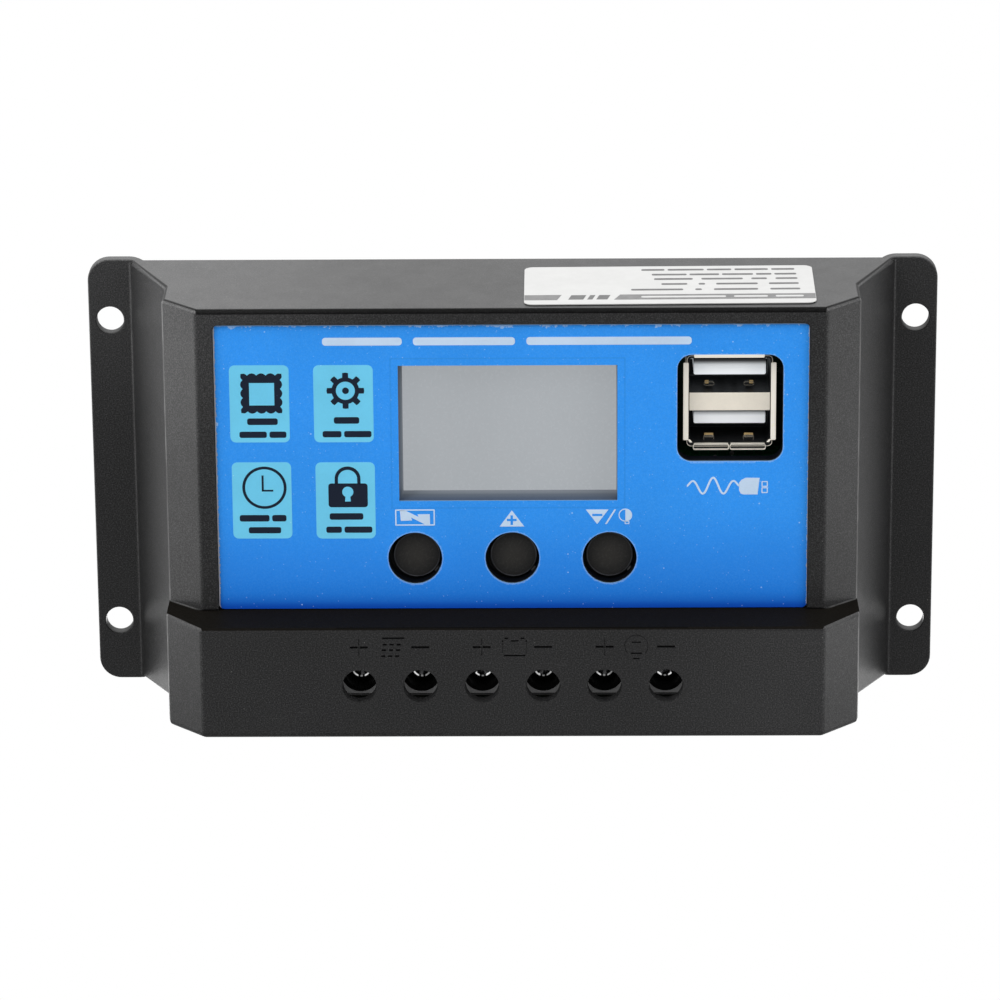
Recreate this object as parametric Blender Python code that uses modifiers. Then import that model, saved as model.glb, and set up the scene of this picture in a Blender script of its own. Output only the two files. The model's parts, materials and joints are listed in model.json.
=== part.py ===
# Solar charge controller, wall mounted: moulded housing with two screw-down
# wings, a stepped terminal cover, display, three buttons, a double USB socket
# and a six-way rising-cage terminal block.
#
# Frame: metres, +Z up, the front faces -Y, the back plane is Y = 0.  The origin
# is the centre of the four mounting holes on the back plane.
# Drawing coordinates are millimetres: x right, h up, d depth out of the wall.
# They become world metres as X = x, Y = -d, Z = h.
# A span is a (low, high) pair along one drawing axis.
import bpy
import bmesh
import math
from mathutils import Vector, Matrix

MM = 0.001

# ---------------------------------------------------------------- shared sizes
WIDTH = 133.5            # over the wings
HALF_H = 34.85           # half height of the wings
WING_T = 2.3             # wing thickness
FRONT_D = 26.5           # upper front face
STEP_H = -15.15          # step up to the terminal cover
BLOCK_D = 35.0           # front face of the terminal cover
END_H = 34.75            # end face height at WING_T
DRAFT_ANGLE = math.radians(3.3)
DRAFT = math.tan(DRAFT_ANGLE)           # upper end face
DRAFT_LO = math.tan(math.radians(2.5))  # lower end face

LABEL_X = 45.4           # half width
LABEL_H = (-15.0, 30.75)

WINDOW_X = (-17.4, 16.25)
WINDOW_H = (2.5, 24.25)
GLASS_D = 21.8           # front of the display glass

BUTTON_PITCH = 15.05
BUTTON_X = (-BUTTON_PITCH, 0.0, BUTTON_PITCH)
BUTTON_H = -6.8
BUTTON_HOLE_R = 4.15

USB_X, USB_H = 33.55, 17.3  # centre of the housing opening
USB_HOLE_W, USB_HOLE_H, USB_HOLE_R = 16.2, 17.0, 2.2

TERMINALS = 6
PITCH = 9.46
TERM_X = [(k - (TERMINALS - 1) / 2) * PITCH for k in range(TERMINALS)]
TERM_H = -24.6

PCB_D = (9.0, 10.6)
ON_BOARD = PCB_D[1] + 0.3   # base of the parts mounted on the board
POST_X, POST_H = 46.0, 26.5
POSTS = [(x, h) for x in (-POST_X, POST_X) for h in (-POST_H, POST_H)]
BOARD_SCREWS = [(x, h) for h in (10.0, -9.0) for x in (-46.0, 46.0)]
COVER_X, COVER_H = 55.2, 31.7   # half width and half height
CORNERS = [(sx, sh) for sx in (-1, 1) for sh in (-1, 1)]

# ---------------------------------------------------------------- materials
# name: (red, green, blue), roughness, metallic
MATERIALS = {
    "housing_plastic": ((0.035, 0.036, 0.038), 0.45, 0.0),
    "cover_plastic": ((0.03, 0.031, 0.033), 0.5, 0.0),
    "label_film": ((0.04, 0.27, 0.79), 0.35, 0.0),
    "sticker_paper": ((0.85, 0.85, 0.83), 0.6, 0.0),
    "lcd_face": ((0.38, 0.40, 0.42), 0.2, 0.0),
    "lcd_frame_plastic": ((0.8, 0.8, 0.78), 0.5, 0.0),
    "button_plastic": ((0.02, 0.02, 0.02), 0.5, 0.0),
    "switch_metal": ((0.6, 0.6, 0.62), 0.35, 1.0),
    "plunger_plastic": ((0.05, 0.05, 0.05), 0.5, 0.0),
    "usb_steel": ((0.8, 0.77, 0.7), 0.3, 1.0),
    "usb_insulator_plastic": ((0.85, 0.88, 0.92), 0.4, 0.0),
    "circuit_board": ((0.02, 0.16, 0.06), 0.4, 0.0),
    "terminal_plastic": ((0.06, 0.065, 0.07), 0.4, 0.0),
    "screw_steel": ((0.7, 0.7, 0.7), 0.3, 1.0),
    "clamp_brass": ((0.75, 0.6, 0.3), 0.35, 1.0),
    "contact_tin": ((0.75, 0.75, 0.72), 0.35, 1.0),
    "heat_plate_aluminium": ((0.8, 0.8, 0.81), 0.4, 1.0),
    "chip_epoxy": ((0.03, 0.03, 0.03), 0.55, 0.0),
    "capacitor_sleeve": ((0.02, 0.02, 0.06), 0.35, 0.0),
    "ferrite": ((0.05, 0.05, 0.055), 0.6, 0.0),
    "black_screw_steel": ((0.12, 0.12, 0.12), 0.35, 1.0),
}


def make_material(name, rgb, roughness, metallic):
    mat = bpy.data.materials.get(name) or bpy.data.materials.new(name)
    mat.use_nodes = True
    shader = mat.node_tree.nodes["Principled BSDF"]
    shader.inputs["Base Color"].default_value = (*rgb, 1.0)
    shader.inputs["Roughness"].default_value = roughness
    shader.inputs["Metallic"].default_value = metallic
    mat.diffuse_color = (*rgb, 1.0)


# ---------------------------------------------------------------- scene
for old_object in list(bpy.data.objects):
    bpy.data.objects.remove(old_object, do_unlink=True)
for old_collection in list(bpy.data.collections):
    bpy.data.collections.remove(old_collection)
PARTS = bpy.data.collections.new("charge_controller")
CUTTERS = bpy.data.collections.new("cutters")
for collection in (PARTS, CUTTERS):
    bpy.context.scene.collection.children.link(collection)
for mat_name, settings in MATERIALS.items():
    make_material(mat_name, *settings)


# ---------------------------------------------------------------- spans, outlines
def world(x, h, d):
    return Vector((x * MM, -d * MM, h * MM))


def around(centre, half):
    return (centre - half, centre + half)


def grown(span, margin):
    return (span[0] - margin, span[1] + margin)


def sided(centre, sign, near, far):
    """Span between two distances from a centre, on the side given by sign."""
    return sorted((centre + sign * near, centre + sign * far))


def mirrored(left):
    """Close an outline by mirroring its left half in x."""
    return left + [(-x, y) for x, y in reversed(left)]


def round_rect(span_x, span_h, r, segments):
    (x0, x1), (h0, h1) = grown(span_x, -r), grown(span_h, -r)
    points = []
    for x, h, start in ((x1, h1, 0), (x0, h1, 90), (x0, h0, 180), (x1, h0, 270)):
        for i in range(segments + 1):
            angle = math.radians(start + 90.0 * i / segments)
            points.append((x + r * math.cos(angle), h + r * math.sin(angle)))
    return points


def drafted(height, draft, d):
    """Height of an end face that leans inwards from the wings to the front."""
    return height - max(0.0, d - WING_T) * draft


def end_hi(d):
    return drafted(END_H, DRAFT, d)


def end_lo(d):
    return -drafted(END_H, DRAFT_LO, d)


# ---------------------------------------------------------------- solids
# A solid without a material is a helper, used up by cut() or add().
def new_object(bm, name, mat):
    bmesh.ops.recalc_face_normals(bm, faces=bm.faces[:])
    mesh = bpy.data.meshes.new(name)
    bm.to_mesh(mesh)
    bm.free()
    ob = bpy.data.objects.new(name, mesh)
    if mat:
        PARTS.objects.link(ob)
        mesh.materials.append(bpy.data.materials[mat])
    else:
        CUTTERS.objects.link(ob)
        ob.hide_render = True
    return ob


def box(span_x, span_h, span_d, name="helper", mat=None):
    (x0, x1), (h0, h1), (d0, d1) = span_x, span_h, span_d
    bm = bmesh.new()
    bmesh.ops.create_cube(bm, size=1.0)
    size = ((x1 - x0) * MM, (d1 - d0) * MM, (h1 - h0) * MM)
    centre = world((x0 + x1) / 2, (h0 + h1) / 2, (d0 + d1) / 2)
    bmesh.ops.scale(bm, vec=size, verts=bm.verts[:])
    bmesh.ops.translate(bm, vec=centre, verts=bm.verts[:])
    return new_object(bm, name, mat)


def rod(x, h, span_d, r, segments, name="helper", mat=None):
    """Cylinder along the depth direction."""
    d0, d1 = span_d
    bm = bmesh.new()
    bmesh.ops.create_cone(bm, cap_ends=True, cap_tris=False, segments=segments,
                          radius1=r * MM, radius2=r * MM, depth=(d1 - d0) * MM)
    # +Z of the cylinder becomes -Y (outwards)
    turn = Matrix.Rotation(math.radians(90), 3, 'X')
    bmesh.ops.rotate(bm, cent=(0, 0, 0), matrix=turn, verts=bm.verts[:])
    bmesh.ops.translate(bm, vec=world(x, h, (d0 + d1) / 2), verts=bm.verts[:])
    return new_object(bm, name, mat)


def loft(start, end, name="helper", mat=None):
    """Solid between two rings of (x, h, d) points."""
    bm = bmesh.new()
    lo = [bm.verts.new(world(*p)) for p in start]
    hi = [bm.verts.new(world(*p)) for p in end]
    bm.faces.new(lo)
    bm.faces.new(list(reversed(hi)))
    for i in range(len(lo)):
        j = (i + 1) % len(lo)
        bm.faces.new([lo[i], hi[i], hi[j], lo[j]])
    return new_object(bm, name, mat)


def prism(outline, low_end, high_end, *naming):
    """Extrude an (x, d) outline between two end faces given as functions of d."""
    return loft([(x, low_end(d), d) for x, d in outline],
                [(x, high_end(d), d) for x, d in outline], *naming)


def plate(outline, span_d, *naming):
    """Extrude an (x, h) outline through a depth span."""
    d0, d1 = span_d
    return loft([(x, h, d0) for x, h in outline], [(x, h, d1) for x, h in outline], *naming)


# ---------------------------------------------------------------- operations
def apply_modifiers(ob):
    depsgraph = bpy.context.evaluated_depsgraph_get()
    depsgraph.update()
    mesh = bpy.data.meshes.new_from_object(ob.evaluated_get(depsgraph))
    ob.modifiers.clear()
    old = ob.data
    ob.data = mesh
    bpy.data.meshes.remove(old)


def boolean(ob, other, operation):
    modifier = ob.modifiers.new(operation.lower(), 'BOOLEAN')
    modifier.operation = operation
    modifier.solver = 'EXACT'
    modifier.object = other
    apply_modifiers(ob)
    bpy.data.objects.remove(other, do_unlink=True)


def cut(ob, other):
    boolean(ob, other, 'DIFFERENCE')


def add(ob, other):
    boolean(ob, other, 'UNION')


def bevel(ob, width, min_angle=60):
    modifier = ob.modifiers.new("bevel", 'BEVEL')
    modifier.width = width * MM
    modifier.segments = 1
    modifier.limit_method = 'ANGLE'
    modifier.angle_limit = math.radians(min_angle)
    apply_modifiers(ob)


def clean(ob):
    bm = bmesh.new()
    bm.from_mesh(ob.data)
    bmesh.ops.remove_doubles(bm, verts=bm.verts[:], dist=2e-6)
    bmesh.ops.dissolve_degenerate(bm, dist=1e-6, edges=bm.edges[:])
    bmesh.ops.recalc_face_normals(bm, faces=bm.faces[:])
    bm.to_mesh(ob.data)
    bm.free()


def smooth(ob, sharp_angle=35):
    for polygon in ob.data.polygons:
        polygon.use_smooth = True
    ob.data.set_sharp_from_angle(angle=math.radians(sharp_angle))


def origin_to(ob, x, h, d):
    """Move the object's origin without moving its mesh."""
    origin = world(x, h, d)
    ob.data.transform(Matrix.Translation(-origin))
    ob.location = origin


def cut_button_and_usb_openings(ob, fit, span_d):
    for x in BUTTON_X:
        cut(ob, rod(x, BUTTON_H, span_d, BUTTON_HOLE_R + fit, 32))
    usb_x = grown(around(USB_X, USB_HOLE_W / 2), fit)
    usb_h = grown(around(USB_H, USB_HOLE_H / 2), fit)
    cut(ob, plate(round_rect(usb_x, usb_h, USB_HOLE_R, 6), span_d))


# ---------------------------------------------------------------- front housing
def housing_shell():
    side_x = 53.72              # upright side wall
    # left flank: from the wing up to the upright wall, as (x, d)
    flank = [(-60.0, WING_T), (-side_x, 15.0)]
    # each front face edge is reached over a sloping ridge
    upper = mirrored(flank + [(-side_x, 21.3), (-48.25, FRONT_D)])
    lower = mirrored(flank + [(-side_x, 28.1), (-48.0, BLOCK_D)])
    shell = prism(upper, end_lo, end_hi, "front_housing", "housing_plastic")
    add(shell, prism(lower, end_lo, lambda d: STEP_H))
    bevel(shell, 0.5, 25)
    return shell


def wing_plate():
    """Plate under the body, stepped in between the wings at both ends."""
    wing_r = 3.4                # outer wing corners
    notch_r = 4.0               # rounding where a wing steps down to the body's end
    notch_x, notch_h = 56.3, 33.4
    skin = 0.02                 # left over the notch to join the body
    wing = plate(round_rect(around(0.0, WIDTH / 2), around(0.0, HALF_H), wing_r, 6),
                 (0.0, WING_T))
    arc_x, arc_h = -(notch_x + notch_r), HALF_H - notch_r
    left = [(arc_x, HALF_H + 1.0)]
    for k in range(7):
        angle = math.radians(90.0 - 15.0 * k)
        h = arc_h + notch_r * math.sin(angle)
        if h > notch_h:
            left.append((arc_x + notch_r * math.cos(angle), h))
    left.append((arc_x + math.sqrt(notch_r ** 2 - (notch_h - arc_h) ** 2), notch_h))
    notch = mirrored(left)
    for outline in (notch, [(x, -h) for x, h in reversed(notch)]):
        cut(wing, plate(outline, (-1.0, WING_T - skin)))
    return wing


def housing_cavity():
    """Hollow following the flanks, open at the back with a seat for the cover."""
    foot_x, side_x = 56.4, 51.6
    end_wall, step_wall, front_wall = 2.2, 2.0, 2.1
    seat_gap = 0.3
    flank = [(-foot_x, 3.9), (-side_x, 13.6)]
    upper = mirrored(flank + [(-side_x, 20.4), (-47.4, 23.2)])
    lower = mirrored(flank + [(-side_x, 27.3), (-47.1, BLOCK_D - front_wall)])

    def top(d):
        return drafted(END_H - end_wall, DRAFT, d)

    def bottom(d):
        return -top(d)

    cavity = prism(upper, bottom, top)
    add(cavity, prism(lower, bottom, lambda d: STEP_H - step_wall))
    add(cavity, box(around(0.0, foot_x), around(0.0, 32.0), (1.9, 4.4)))
    seat = round_rect(around(0.0, COVER_X + seat_gap), around(0.0, COVER_H + seat_gap), 1.5, 4)
    add(cavity, plate(seat, (-1.0, 2.3)))
    return cavity


def add_inner_posts(housing):
    post_top_upper, post_top_lower, boss_top = 24.4, 33.4, 24.4
    for x, h in POSTS:          # for the cover screws
        top = post_top_upper if h > 0 else post_top_lower
        add(housing, rod(x, h, (4.5, top), 3.2, 24))
    for x, h in BOARD_SCREWS:
        add(housing, rod(x, h, (ON_BOARD, boss_top), 2.7, 20))
    # collar behind the display window
    collar = 1.4
    add(housing, box(grown(WINDOW_X, collar), grown(WINDOW_H, collar), (GLASS_D + 0.3, 24.0)))


def window_cutter():
    """Display opening with sloping walls, narrower inside."""
    (x0, x1), (h0, h1) = WINDOW_X, WINDOW_H
    rings = []
    for d, inset in ((20.0, 0.50), (27.0, -0.10)):
        left, right = x0 + inset, x1 - inset * 0.4
        low, high = h0 + inset, h1 - inset * 0.2
        rings.append([(left, low, d), (right, low, d), (right, high, d), (left, high, d)])
    return loft(*rings)


def cut_housing_openings(housing):
    pocket_floor, pocket_margin = 25.4, 0.2
    cut(housing, box(around(0.0, LABEL_X + pocket_margin),
                     (STEP_H, LABEL_H[1] + pocket_margin), (pocket_floor, 27.6)))
    hole_x, hole_h, hole_r = 63.4, 25.0, 2.15   # wall mounting holes
    post_bore_r, boss_bore_r = 1.55, 1.25
    for sx, sh in CORNERS:
        cut(housing, rod(sx * hole_x, sh * hole_h, (-1.0, 4.0), hole_r, 32))
        cut(housing, rod(sx * POST_X, sh * POST_H, (3.0, 13.5), post_bore_r, 20))
    for x, h in BOARD_SCREWS:
        cut(housing, rod(x, h, (8.0, 17.5), boss_bore_r, 16))
    cut(housing, window_cutter())
    cut_button_and_usb_openings(housing, 0.0, (20.0, 28.0))
    access_r = 2.6
    wire_half_w = 3.6
    for x in TERM_X:
        cut(housing, rod(x, TERM_H, (31.0, 37.0), access_r, 28))
        # wire entry through the lower end wall
        cut(housing, box(around(x, wire_half_w), (-37.0, -28.0), (12.7, 19.9)))
    # polarity marks over the access holes: plus and minus in turn
    mark_d = (BLOCK_D - 0.3, BLOCK_D + 1.0)
    for k, x in enumerate(TERM_X):
        cut(housing, box(around(x, 1.35), (-18.42, -18.08), mark_d))
        if k % 2 == 0:
            cut(housing, box(around(x, 0.17), (-19.6, -16.9), mark_d))


def build_housing():
    housing = housing_shell()
    add(housing, wing_plate())
    cut(housing, housing_cavity())
    add_inner_posts(housing)
    cut_housing_openings(housing)
    clean(housing)
    smooth(housing, 30)


# ---------------------------------------------------------------- back cover
def build_back_cover():
    boss_r, counterbore_r, through_r = 4.2, 2.9, 1.65
    slot_pitch, slot_half_w, slot_half_h = 8.0, 1.2, 5.0
    cover = plate(round_rect(around(0.0, COVER_X), around(0.0, COVER_H), 1.3, 4),
                  (0.0, 2.0), "back_cover", "cover_plastic")
    for x, h in POSTS:
        add(cover, rod(x, h, (1.0, 4.2), boss_r, 20))
        cut(cover, rod(x, h, (-1.0, 2.2), counterbore_r, 20))
        cut(cover, rod(x, h, (1.0, 6.0), through_r, 16))
    for h in (-16.0, 16.0):
        for i in range(7):
            x = (i - 3) * slot_pitch
            cut(cover, box(around(x, slot_half_w), around(h, slot_half_h), (-1.0, 3.0)))
    clean(cover)
    smooth(cover, 30)


def build_cover_screws():
    head_r, shank_r = 2.6, 1.5
    cross_half_l, cross_half_w = 1.5, 0.25
    cross_d = (-1.0, 1.3)
    places = [(x, h) for h in (POST_H, -POST_H) for x in (-POST_X, POST_X)]
    for n, (x, h) in enumerate(places, 1):
        screw = rod(x, h, (0.35, 2.0), head_r, 16, f"cover_screw_{n}", "black_screw_steel")
        add(screw, rod(x, h, (1.5, 12.0), shank_r, 16))
        cut(screw, box(around(x, cross_half_l), around(h, cross_half_w), cross_d))
        cut(screw, box(around(x, cross_half_w), around(h, cross_half_l), cross_d))
        clean(screw)
        smooth(screw)


# ---------------------------------------------------------------- label, sticker
def build_label():
    fit = 0.02                  # openings larger than the housing's
    label = plate(round_rect(around(0.0, LABEL_X), LABEL_H, 0.5, 3), (25.65, 25.95),
                  "face_label", "label_film")
    through = (24.0, 28.0)
    cut(label, box(grown(WINDOW_X, fit), grown(WINDOW_H, fit), through))
    cut_button_and_usb_openings(label, fit, through)
    clean(label)


def build_sticker():
    """Paper lying along the sloping upper end face."""
    length, width, thickness = 44.7, 18.0, 0.15
    x, d, lift = 24.35, 15.85, 0.15
    sticker = box(around(0.0, length / 2), around(0.0, thickness / 2), around(0.0, width / 2),
                  "rating_sticker", "sticker_paper")
    sticker.location = world(x, end_hi(d) + lift, d)
    sticker.rotation_euler = (DRAFT_ANGLE, 0.0, 0.0)


# ---------------------------------------------------------------- display
def build_display():
    glass_x, glass_h, glass_t = (-19.4, 18.4), (0.4, 25.9), 1.7
    frame_over, frame_rim = 0.2, 1.3
    box(glass_x, glass_h, (GLASS_D - glass_t, GLASS_D), "lcd_glass", "lcd_face")
    frame = box(grown(glass_x, frame_over), grown(glass_h, frame_over),
                (ON_BOARD, GLASS_D - 2.0), "lcd_frame", "lcd_frame_plastic")
    cut(frame, box(grown(glass_x, -frame_rim), grown(glass_h, -frame_rim),
                   (PCB_D[1] - 1.0, GLASS_D - 3.6)))
    clean(frame)
    box((-17.0, 16.0), (26.6, 28.1), (ON_BOARD, GLASS_D - 1.0), "lcd_pin_strip", "contact_tin")


# ---------------------------------------------------------------- buttons
def build_button(side, x):
    cap_r, cap_front = 3.6, 24.2
    flange_r, stem_r = 4.8, 2.2
    plunger_r, plunger_front = 1.75, 16.7
    switch_half, switch_bore_r = 3.0, 1.83
    h = BUTTON_H

    cap = rod(x, h, (21.6, cap_front), cap_r, 28, "button_cap_" + side, "button_plastic")
    bevel(cap, 0.4)
    add(cap, rod(x, h, (21.2, 22.6), flange_r, 28))
    add(cap, rod(x, h, (17.0, 21.9), stem_r, 16))
    clean(cap)
    smooth(cap)
    origin_to(cap, x, h, cap_front)

    plunger = rod(x, h, (11.7, plunger_front), plunger_r, 24,
                  "switch_plunger_" + side, "plunger_plastic")
    smooth(plunger)
    origin_to(plunger, x, h, plunger_front)

    switch = box(around(x, switch_half), around(h, switch_half), (ON_BOARD, 14.4),
                 "switch_body_" + side, "switch_metal")
    cut(switch, rod(x, h, (11.2, 16.0), switch_bore_r, 24))
    clean(switch)


# ---------------------------------------------------------------- USB socket
def build_usb():
    bottom, top, half_w = 10.25, 24.85, 6.6
    sheet = 0.3                 # shell wall
    front = 23.3
    upper = (18.95, top - sheet)
    lower = (bottom + sheet, 16.1)
    shell = box(around(USB_X, half_w), (bottom, top), (12.0, front), "usb_shell", "usb_steel")
    for port in (upper, lower):
        cut(shell, box(around(USB_X, half_w - sheet), port, (11.0, 24.5)))
    # gap between the two ports, closed at the front
    cut(shell, box(around(USB_X, 7.0), (lower[1] + sheet, upper[0] - sheet), (10.0, 22.9)))
    # flanges around the mouth: sides, top, and two halves at the bottom
    flange_d = (front - 0.4, front)
    for sign in (-1, 1):
        add(shell, box(sided(USB_X, sign, 6.35, 7.2), (11.6, 23.8), flange_d))
    add(shell, box(around(USB_X, 5.8), (top - 0.15, top + 0.55), flange_d))
    for sign in (-1, 1):
        add(shell, box(sided(USB_X, sign, 0.15, 5.7), (bottom - 0.6, bottom + 0.15), flange_d))
    clean(shell)
    for side, port in (("upper", upper), ("lower", lower)):
        insulator = box(around(USB_X, 6.1), grown(port, -0.2), (ON_BOARD, 13.4),
                        "usb_insulator_" + side, "usb_insulator_plastic")
        # tongue near the top of the port
        tongue_h = (port[1] - 2.4, port[1] - 0.3)
        add(insulator, box(around(USB_X, 5.55), tongue_h, (13.0, 22.6)))
        clean(insulator)


# ---------------------------------------------------------------- circuit board
def build_board():
    half_w, half_h = 49.2, 29.6
    through = (8.0, 12.0)
    screw_hole_r = 1.5
    board = box(around(0.0, half_w), around(0.0, half_h), PCB_D, "main_board", "circuit_board")
    for sx, sh in CORNERS:      # clear the cover screw posts
        cut(board, box(sided(0.0, sx, 42.2, 52.0), sided(0.0, sh, 22.6, 32.0), through))
    for x, h in BOARD_SCREWS:
        cut(board, rod(x, h, through, screw_hole_r, 16))
    for x in TERM_X:            # slots for the contact bars
        cut(board, box(around(x, 2.4), (-20.2, -18.8), through))
    clean(board)


def build_board_screws():
    head_r, shank_r = 2.3, 1.2
    slot_half_l, slot_half_w = 1.4, 0.25
    for n, (x, h) in enumerate(BOARD_SCREWS, 1):
        screw = rod(x, h, (7.2, 8.7), head_r, 20, f"board_screw_{n}", "screw_steel")
        add(screw, rod(x, h, (8.2, 16.5), shank_r, 16))
        cut(screw, box(around(x, slot_half_l), around(h, slot_half_w), (6.0, 7.9)))
        clean(screw)
        smooth(screw)


# ---------------------------------------------------------------- terminals
def build_terminal_block():
    bottom, front = -27.7, 30.1
    bore_r, neck_r = 2.4, 1.7
    block = box(around(0.0, TERMINALS / 2 * PITCH), (bottom, -17.6), (10.9, front),
                "terminal_block", "terminal_plastic")
    for x in TERM_X:
        # chamber for the cage, screw bore and neck, slot for the bar's tail
        cut(block, box(around(x, 3.35), (bottom - 1.0, -18.8), (13.2, 24.0)))
        cut(block, rod(x, TERM_H, (24.6, front + 1.0), bore_r, 24))
        cut(block, rod(x, TERM_H, (23.0, 25.5), neck_r, 16))
        cut(block, box(around(x, 2.3), (-20.1, -18.9), (9.0, 14.0)))
    clean(block)
    smooth(block, 30)


def build_terminal_screw(n, x):
    tip, head_back, head_front = 19.4, 24.8, 26.5
    head_r, shank_r = 2.05, 1.5
    screw = rod(x, TERM_H, (head_back, head_front), head_r, 20,
                f"terminal_screw_{n}", "screw_steel")
    bevel(screw, 0.3)
    add(screw, rod(x, TERM_H, (tip, head_back + 0.5), shank_r, 16))
    # slot right across the head, with a shorter cross slot
    slot_half_w = 0.3
    slot_d = (head_front - 0.8, head_front + 1.0)
    cut(screw, box(around(x, slot_half_w), around(TERM_H, 2.6), slot_d))
    cut(screw, box(around(x, 1.3), around(TERM_H, slot_half_w), slot_d))
    clean(screw)
    smooth(screw)
    origin_to(screw, x, TERM_H, head_front)


def build_clamp_cage(n, x):
    back, front = 13.5, 20.9
    screw_bore_r = 1.56
    cage = box(around(x, 3.05), (-27.2, -20.3), (back, front), f"clamp_cage_{n}", "clamp_brass")
    cut(cage, box(around(x, 2.4), (-29.0, -18.0), (back + 1.0, front - 1.2)))
    cut(cage, rod(x, TERM_H, (front - 2.0, front + 1.0), screw_bore_r, 20))
    clean(cage)
    origin_to(cage, x, TERM_H, front)


def build_contact_bar(n, x):
    """Bar through the cage with a tail back through the board."""
    front, top = 19.2, -19.1
    span_x = around(x, 2.1)
    bar = box(span_x, (-27.0, top), (18.2, front), f"contact_bar_{n}", "contact_tin")
    add(bar, box(span_x, (-19.9, top), (8.0, front - 0.4)))
    clean(bar)


# ---------------------------------------------------------------- board parts
# plain blocks: name, x span, h span, front depth
BOARD_BLOCKS = (
    ("control_chip", (-5.0, 5.0), (8.0, 18.0), 12.3),
    ("regulator_chip", (31.0, 36.0), (-1.0, 3.0), 12.4),
    ("diode_1", (24.5, 31.5), (-10.5, -5.0), 13.2),
    ("diode_2", (34.0, 41.0), (-10.5, -5.0), 13.2),
)
# x, h, radius, front depth
CAPACITORS = ((-34.0, 19.0, 5.0, 22.6), (-34.0, 6.5, 4.0, 22.0))


def build_power_stage():
    """Heat plate and transistors behind the board."""
    box((-36.0, 36.0), (-12.0, 10.5), (2.4, 3.9), "heat_plate", "heat_plate_aluminium")
    back, tab_hole_r = 4.2, 1.8
    for n, x in enumerate((-24.0, 0.0, 24.0), 1):
        span_x = around(x, 5.1)
        transistor = box(span_x, (-9.0, 0.2), (back, 8.6), f"power_transistor_{n}", "chip_epoxy")
        add(transistor, box(span_x, (-0.5, 6.6), (back, 5.5)))
        cut(transistor, rod(x, 3.6, (3.0, 7.0), tab_hole_r, 20))
        clean(transistor)


def build_inductor():
    x, h = -34.0, -6.0
    flange_r, core_r = 4.6, 2.6
    inductor = rod(x, h, (ON_BOARD, 12.2), flange_r, 28, "inductor", "ferrite")
    add(inductor, rod(x, h, (11.5, 16.0), core_r, 24))
    add(inductor, rod(x, h, (15.6, 17.0), flange_r, 28))
    clean(inductor)
    smooth(inductor)


def build_board_parts():
    build_power_stage()
    for n, (x, h, r, front) in enumerate(CAPACITORS, 1):
        can = rod(x, h, (ON_BOARD, front), r, 24, f"capacitor_{n}", "capacitor_sleeve")
        bevel(can, 0.5)
        smooth(can)
    build_inductor()
    for name, span_x, span_h, front in BOARD_BLOCKS:
        box(span_x, span_h, (ON_BOARD, front), name, "chip_epoxy")


build_housing()
build_back_cover()
build_cover_screws()
build_label()
build_sticker()
build_display()
for side, x in zip(("left", "middle", "right"), BUTTON_X):
    build_button(side, x)
build_usb()
build_board()
build_board_screws()
build_terminal_block()
for n, x in enumerate(TERM_X, 1):
    build_terminal_screw(n, x)
    build_clamp_cage(n, x)
    build_contact_bar(n, x)
build_board_parts()
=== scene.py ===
# Detailed looks for a wall-mounted charge controller, built around its CAD frame.
# Frame: metres, +Z up, front towards -Y.  Drawing coordinates are millimetres:
# x right, h up, d out of the wall, so X = x, Y = -d, Z = h.
# Names ending in _X, _H and _D are places on those axes.
import bpy
import bmesh
import math
import json
from mathutils import Vector, Matrix

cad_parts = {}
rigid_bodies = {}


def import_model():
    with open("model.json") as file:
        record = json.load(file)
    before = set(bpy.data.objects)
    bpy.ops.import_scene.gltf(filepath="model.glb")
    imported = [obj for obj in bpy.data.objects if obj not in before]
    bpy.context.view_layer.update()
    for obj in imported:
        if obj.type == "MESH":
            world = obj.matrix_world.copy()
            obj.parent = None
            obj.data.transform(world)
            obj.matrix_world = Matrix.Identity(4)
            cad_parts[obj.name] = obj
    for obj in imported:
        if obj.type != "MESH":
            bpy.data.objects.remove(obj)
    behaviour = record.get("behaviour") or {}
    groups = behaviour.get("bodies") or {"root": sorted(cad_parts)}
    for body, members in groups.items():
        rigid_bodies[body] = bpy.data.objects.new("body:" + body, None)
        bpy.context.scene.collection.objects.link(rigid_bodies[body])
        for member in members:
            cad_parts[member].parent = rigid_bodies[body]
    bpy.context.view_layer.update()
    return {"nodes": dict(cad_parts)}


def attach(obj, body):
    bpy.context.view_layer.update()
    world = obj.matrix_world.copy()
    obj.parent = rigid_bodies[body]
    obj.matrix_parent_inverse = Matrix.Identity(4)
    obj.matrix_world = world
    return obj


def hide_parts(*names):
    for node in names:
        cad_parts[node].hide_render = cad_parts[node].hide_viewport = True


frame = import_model()

MM = 0.001

# Mounting wings, flat on the wall
WIDTH = 133.5
HALF_H = 34.85
WING_T = 2.3
WING_R = 3.4
NOTCH_R = 4.0
HOLE_X, HOLE_H, HOLE_R = 63.4, 25.0, 2.15

# Body section: flank from fold to side, ridge, then chamfer to the front face
FOLD_X = 60.0
FLANK_D = 15.0
SIDE_X = 53.72
RIDGE_D = 21.3
FRONT_X, FRONT_D = 48.25, 26.5
STEP_H = -15.15                     # the terminal block stands out below this
BLOCK_RIDGE_D = 28.1
BLOCK_X, BLOCK_D = 48.0, 35.0
END_H = 34.75
DRAFT = math.tan(math.radians(3.3))       # lean of the top end face
DRAFT_LO = math.tan(math.radians(2.8))    # lean of the bottom end face
BOSS_X, BOSS_H = 46.0, 26.5

# Label film and its pocket
LABEL_X = 45.4
LABEL_FILM_X = 45.6                 # the film as stretched into its pocket
LABEL_LO, LABEL_HI = -15.0, 30.75
POCKET_D = 25.4
LABEL_BACK_D, LABEL_FRONT_D = 25.65, 25.95

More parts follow.
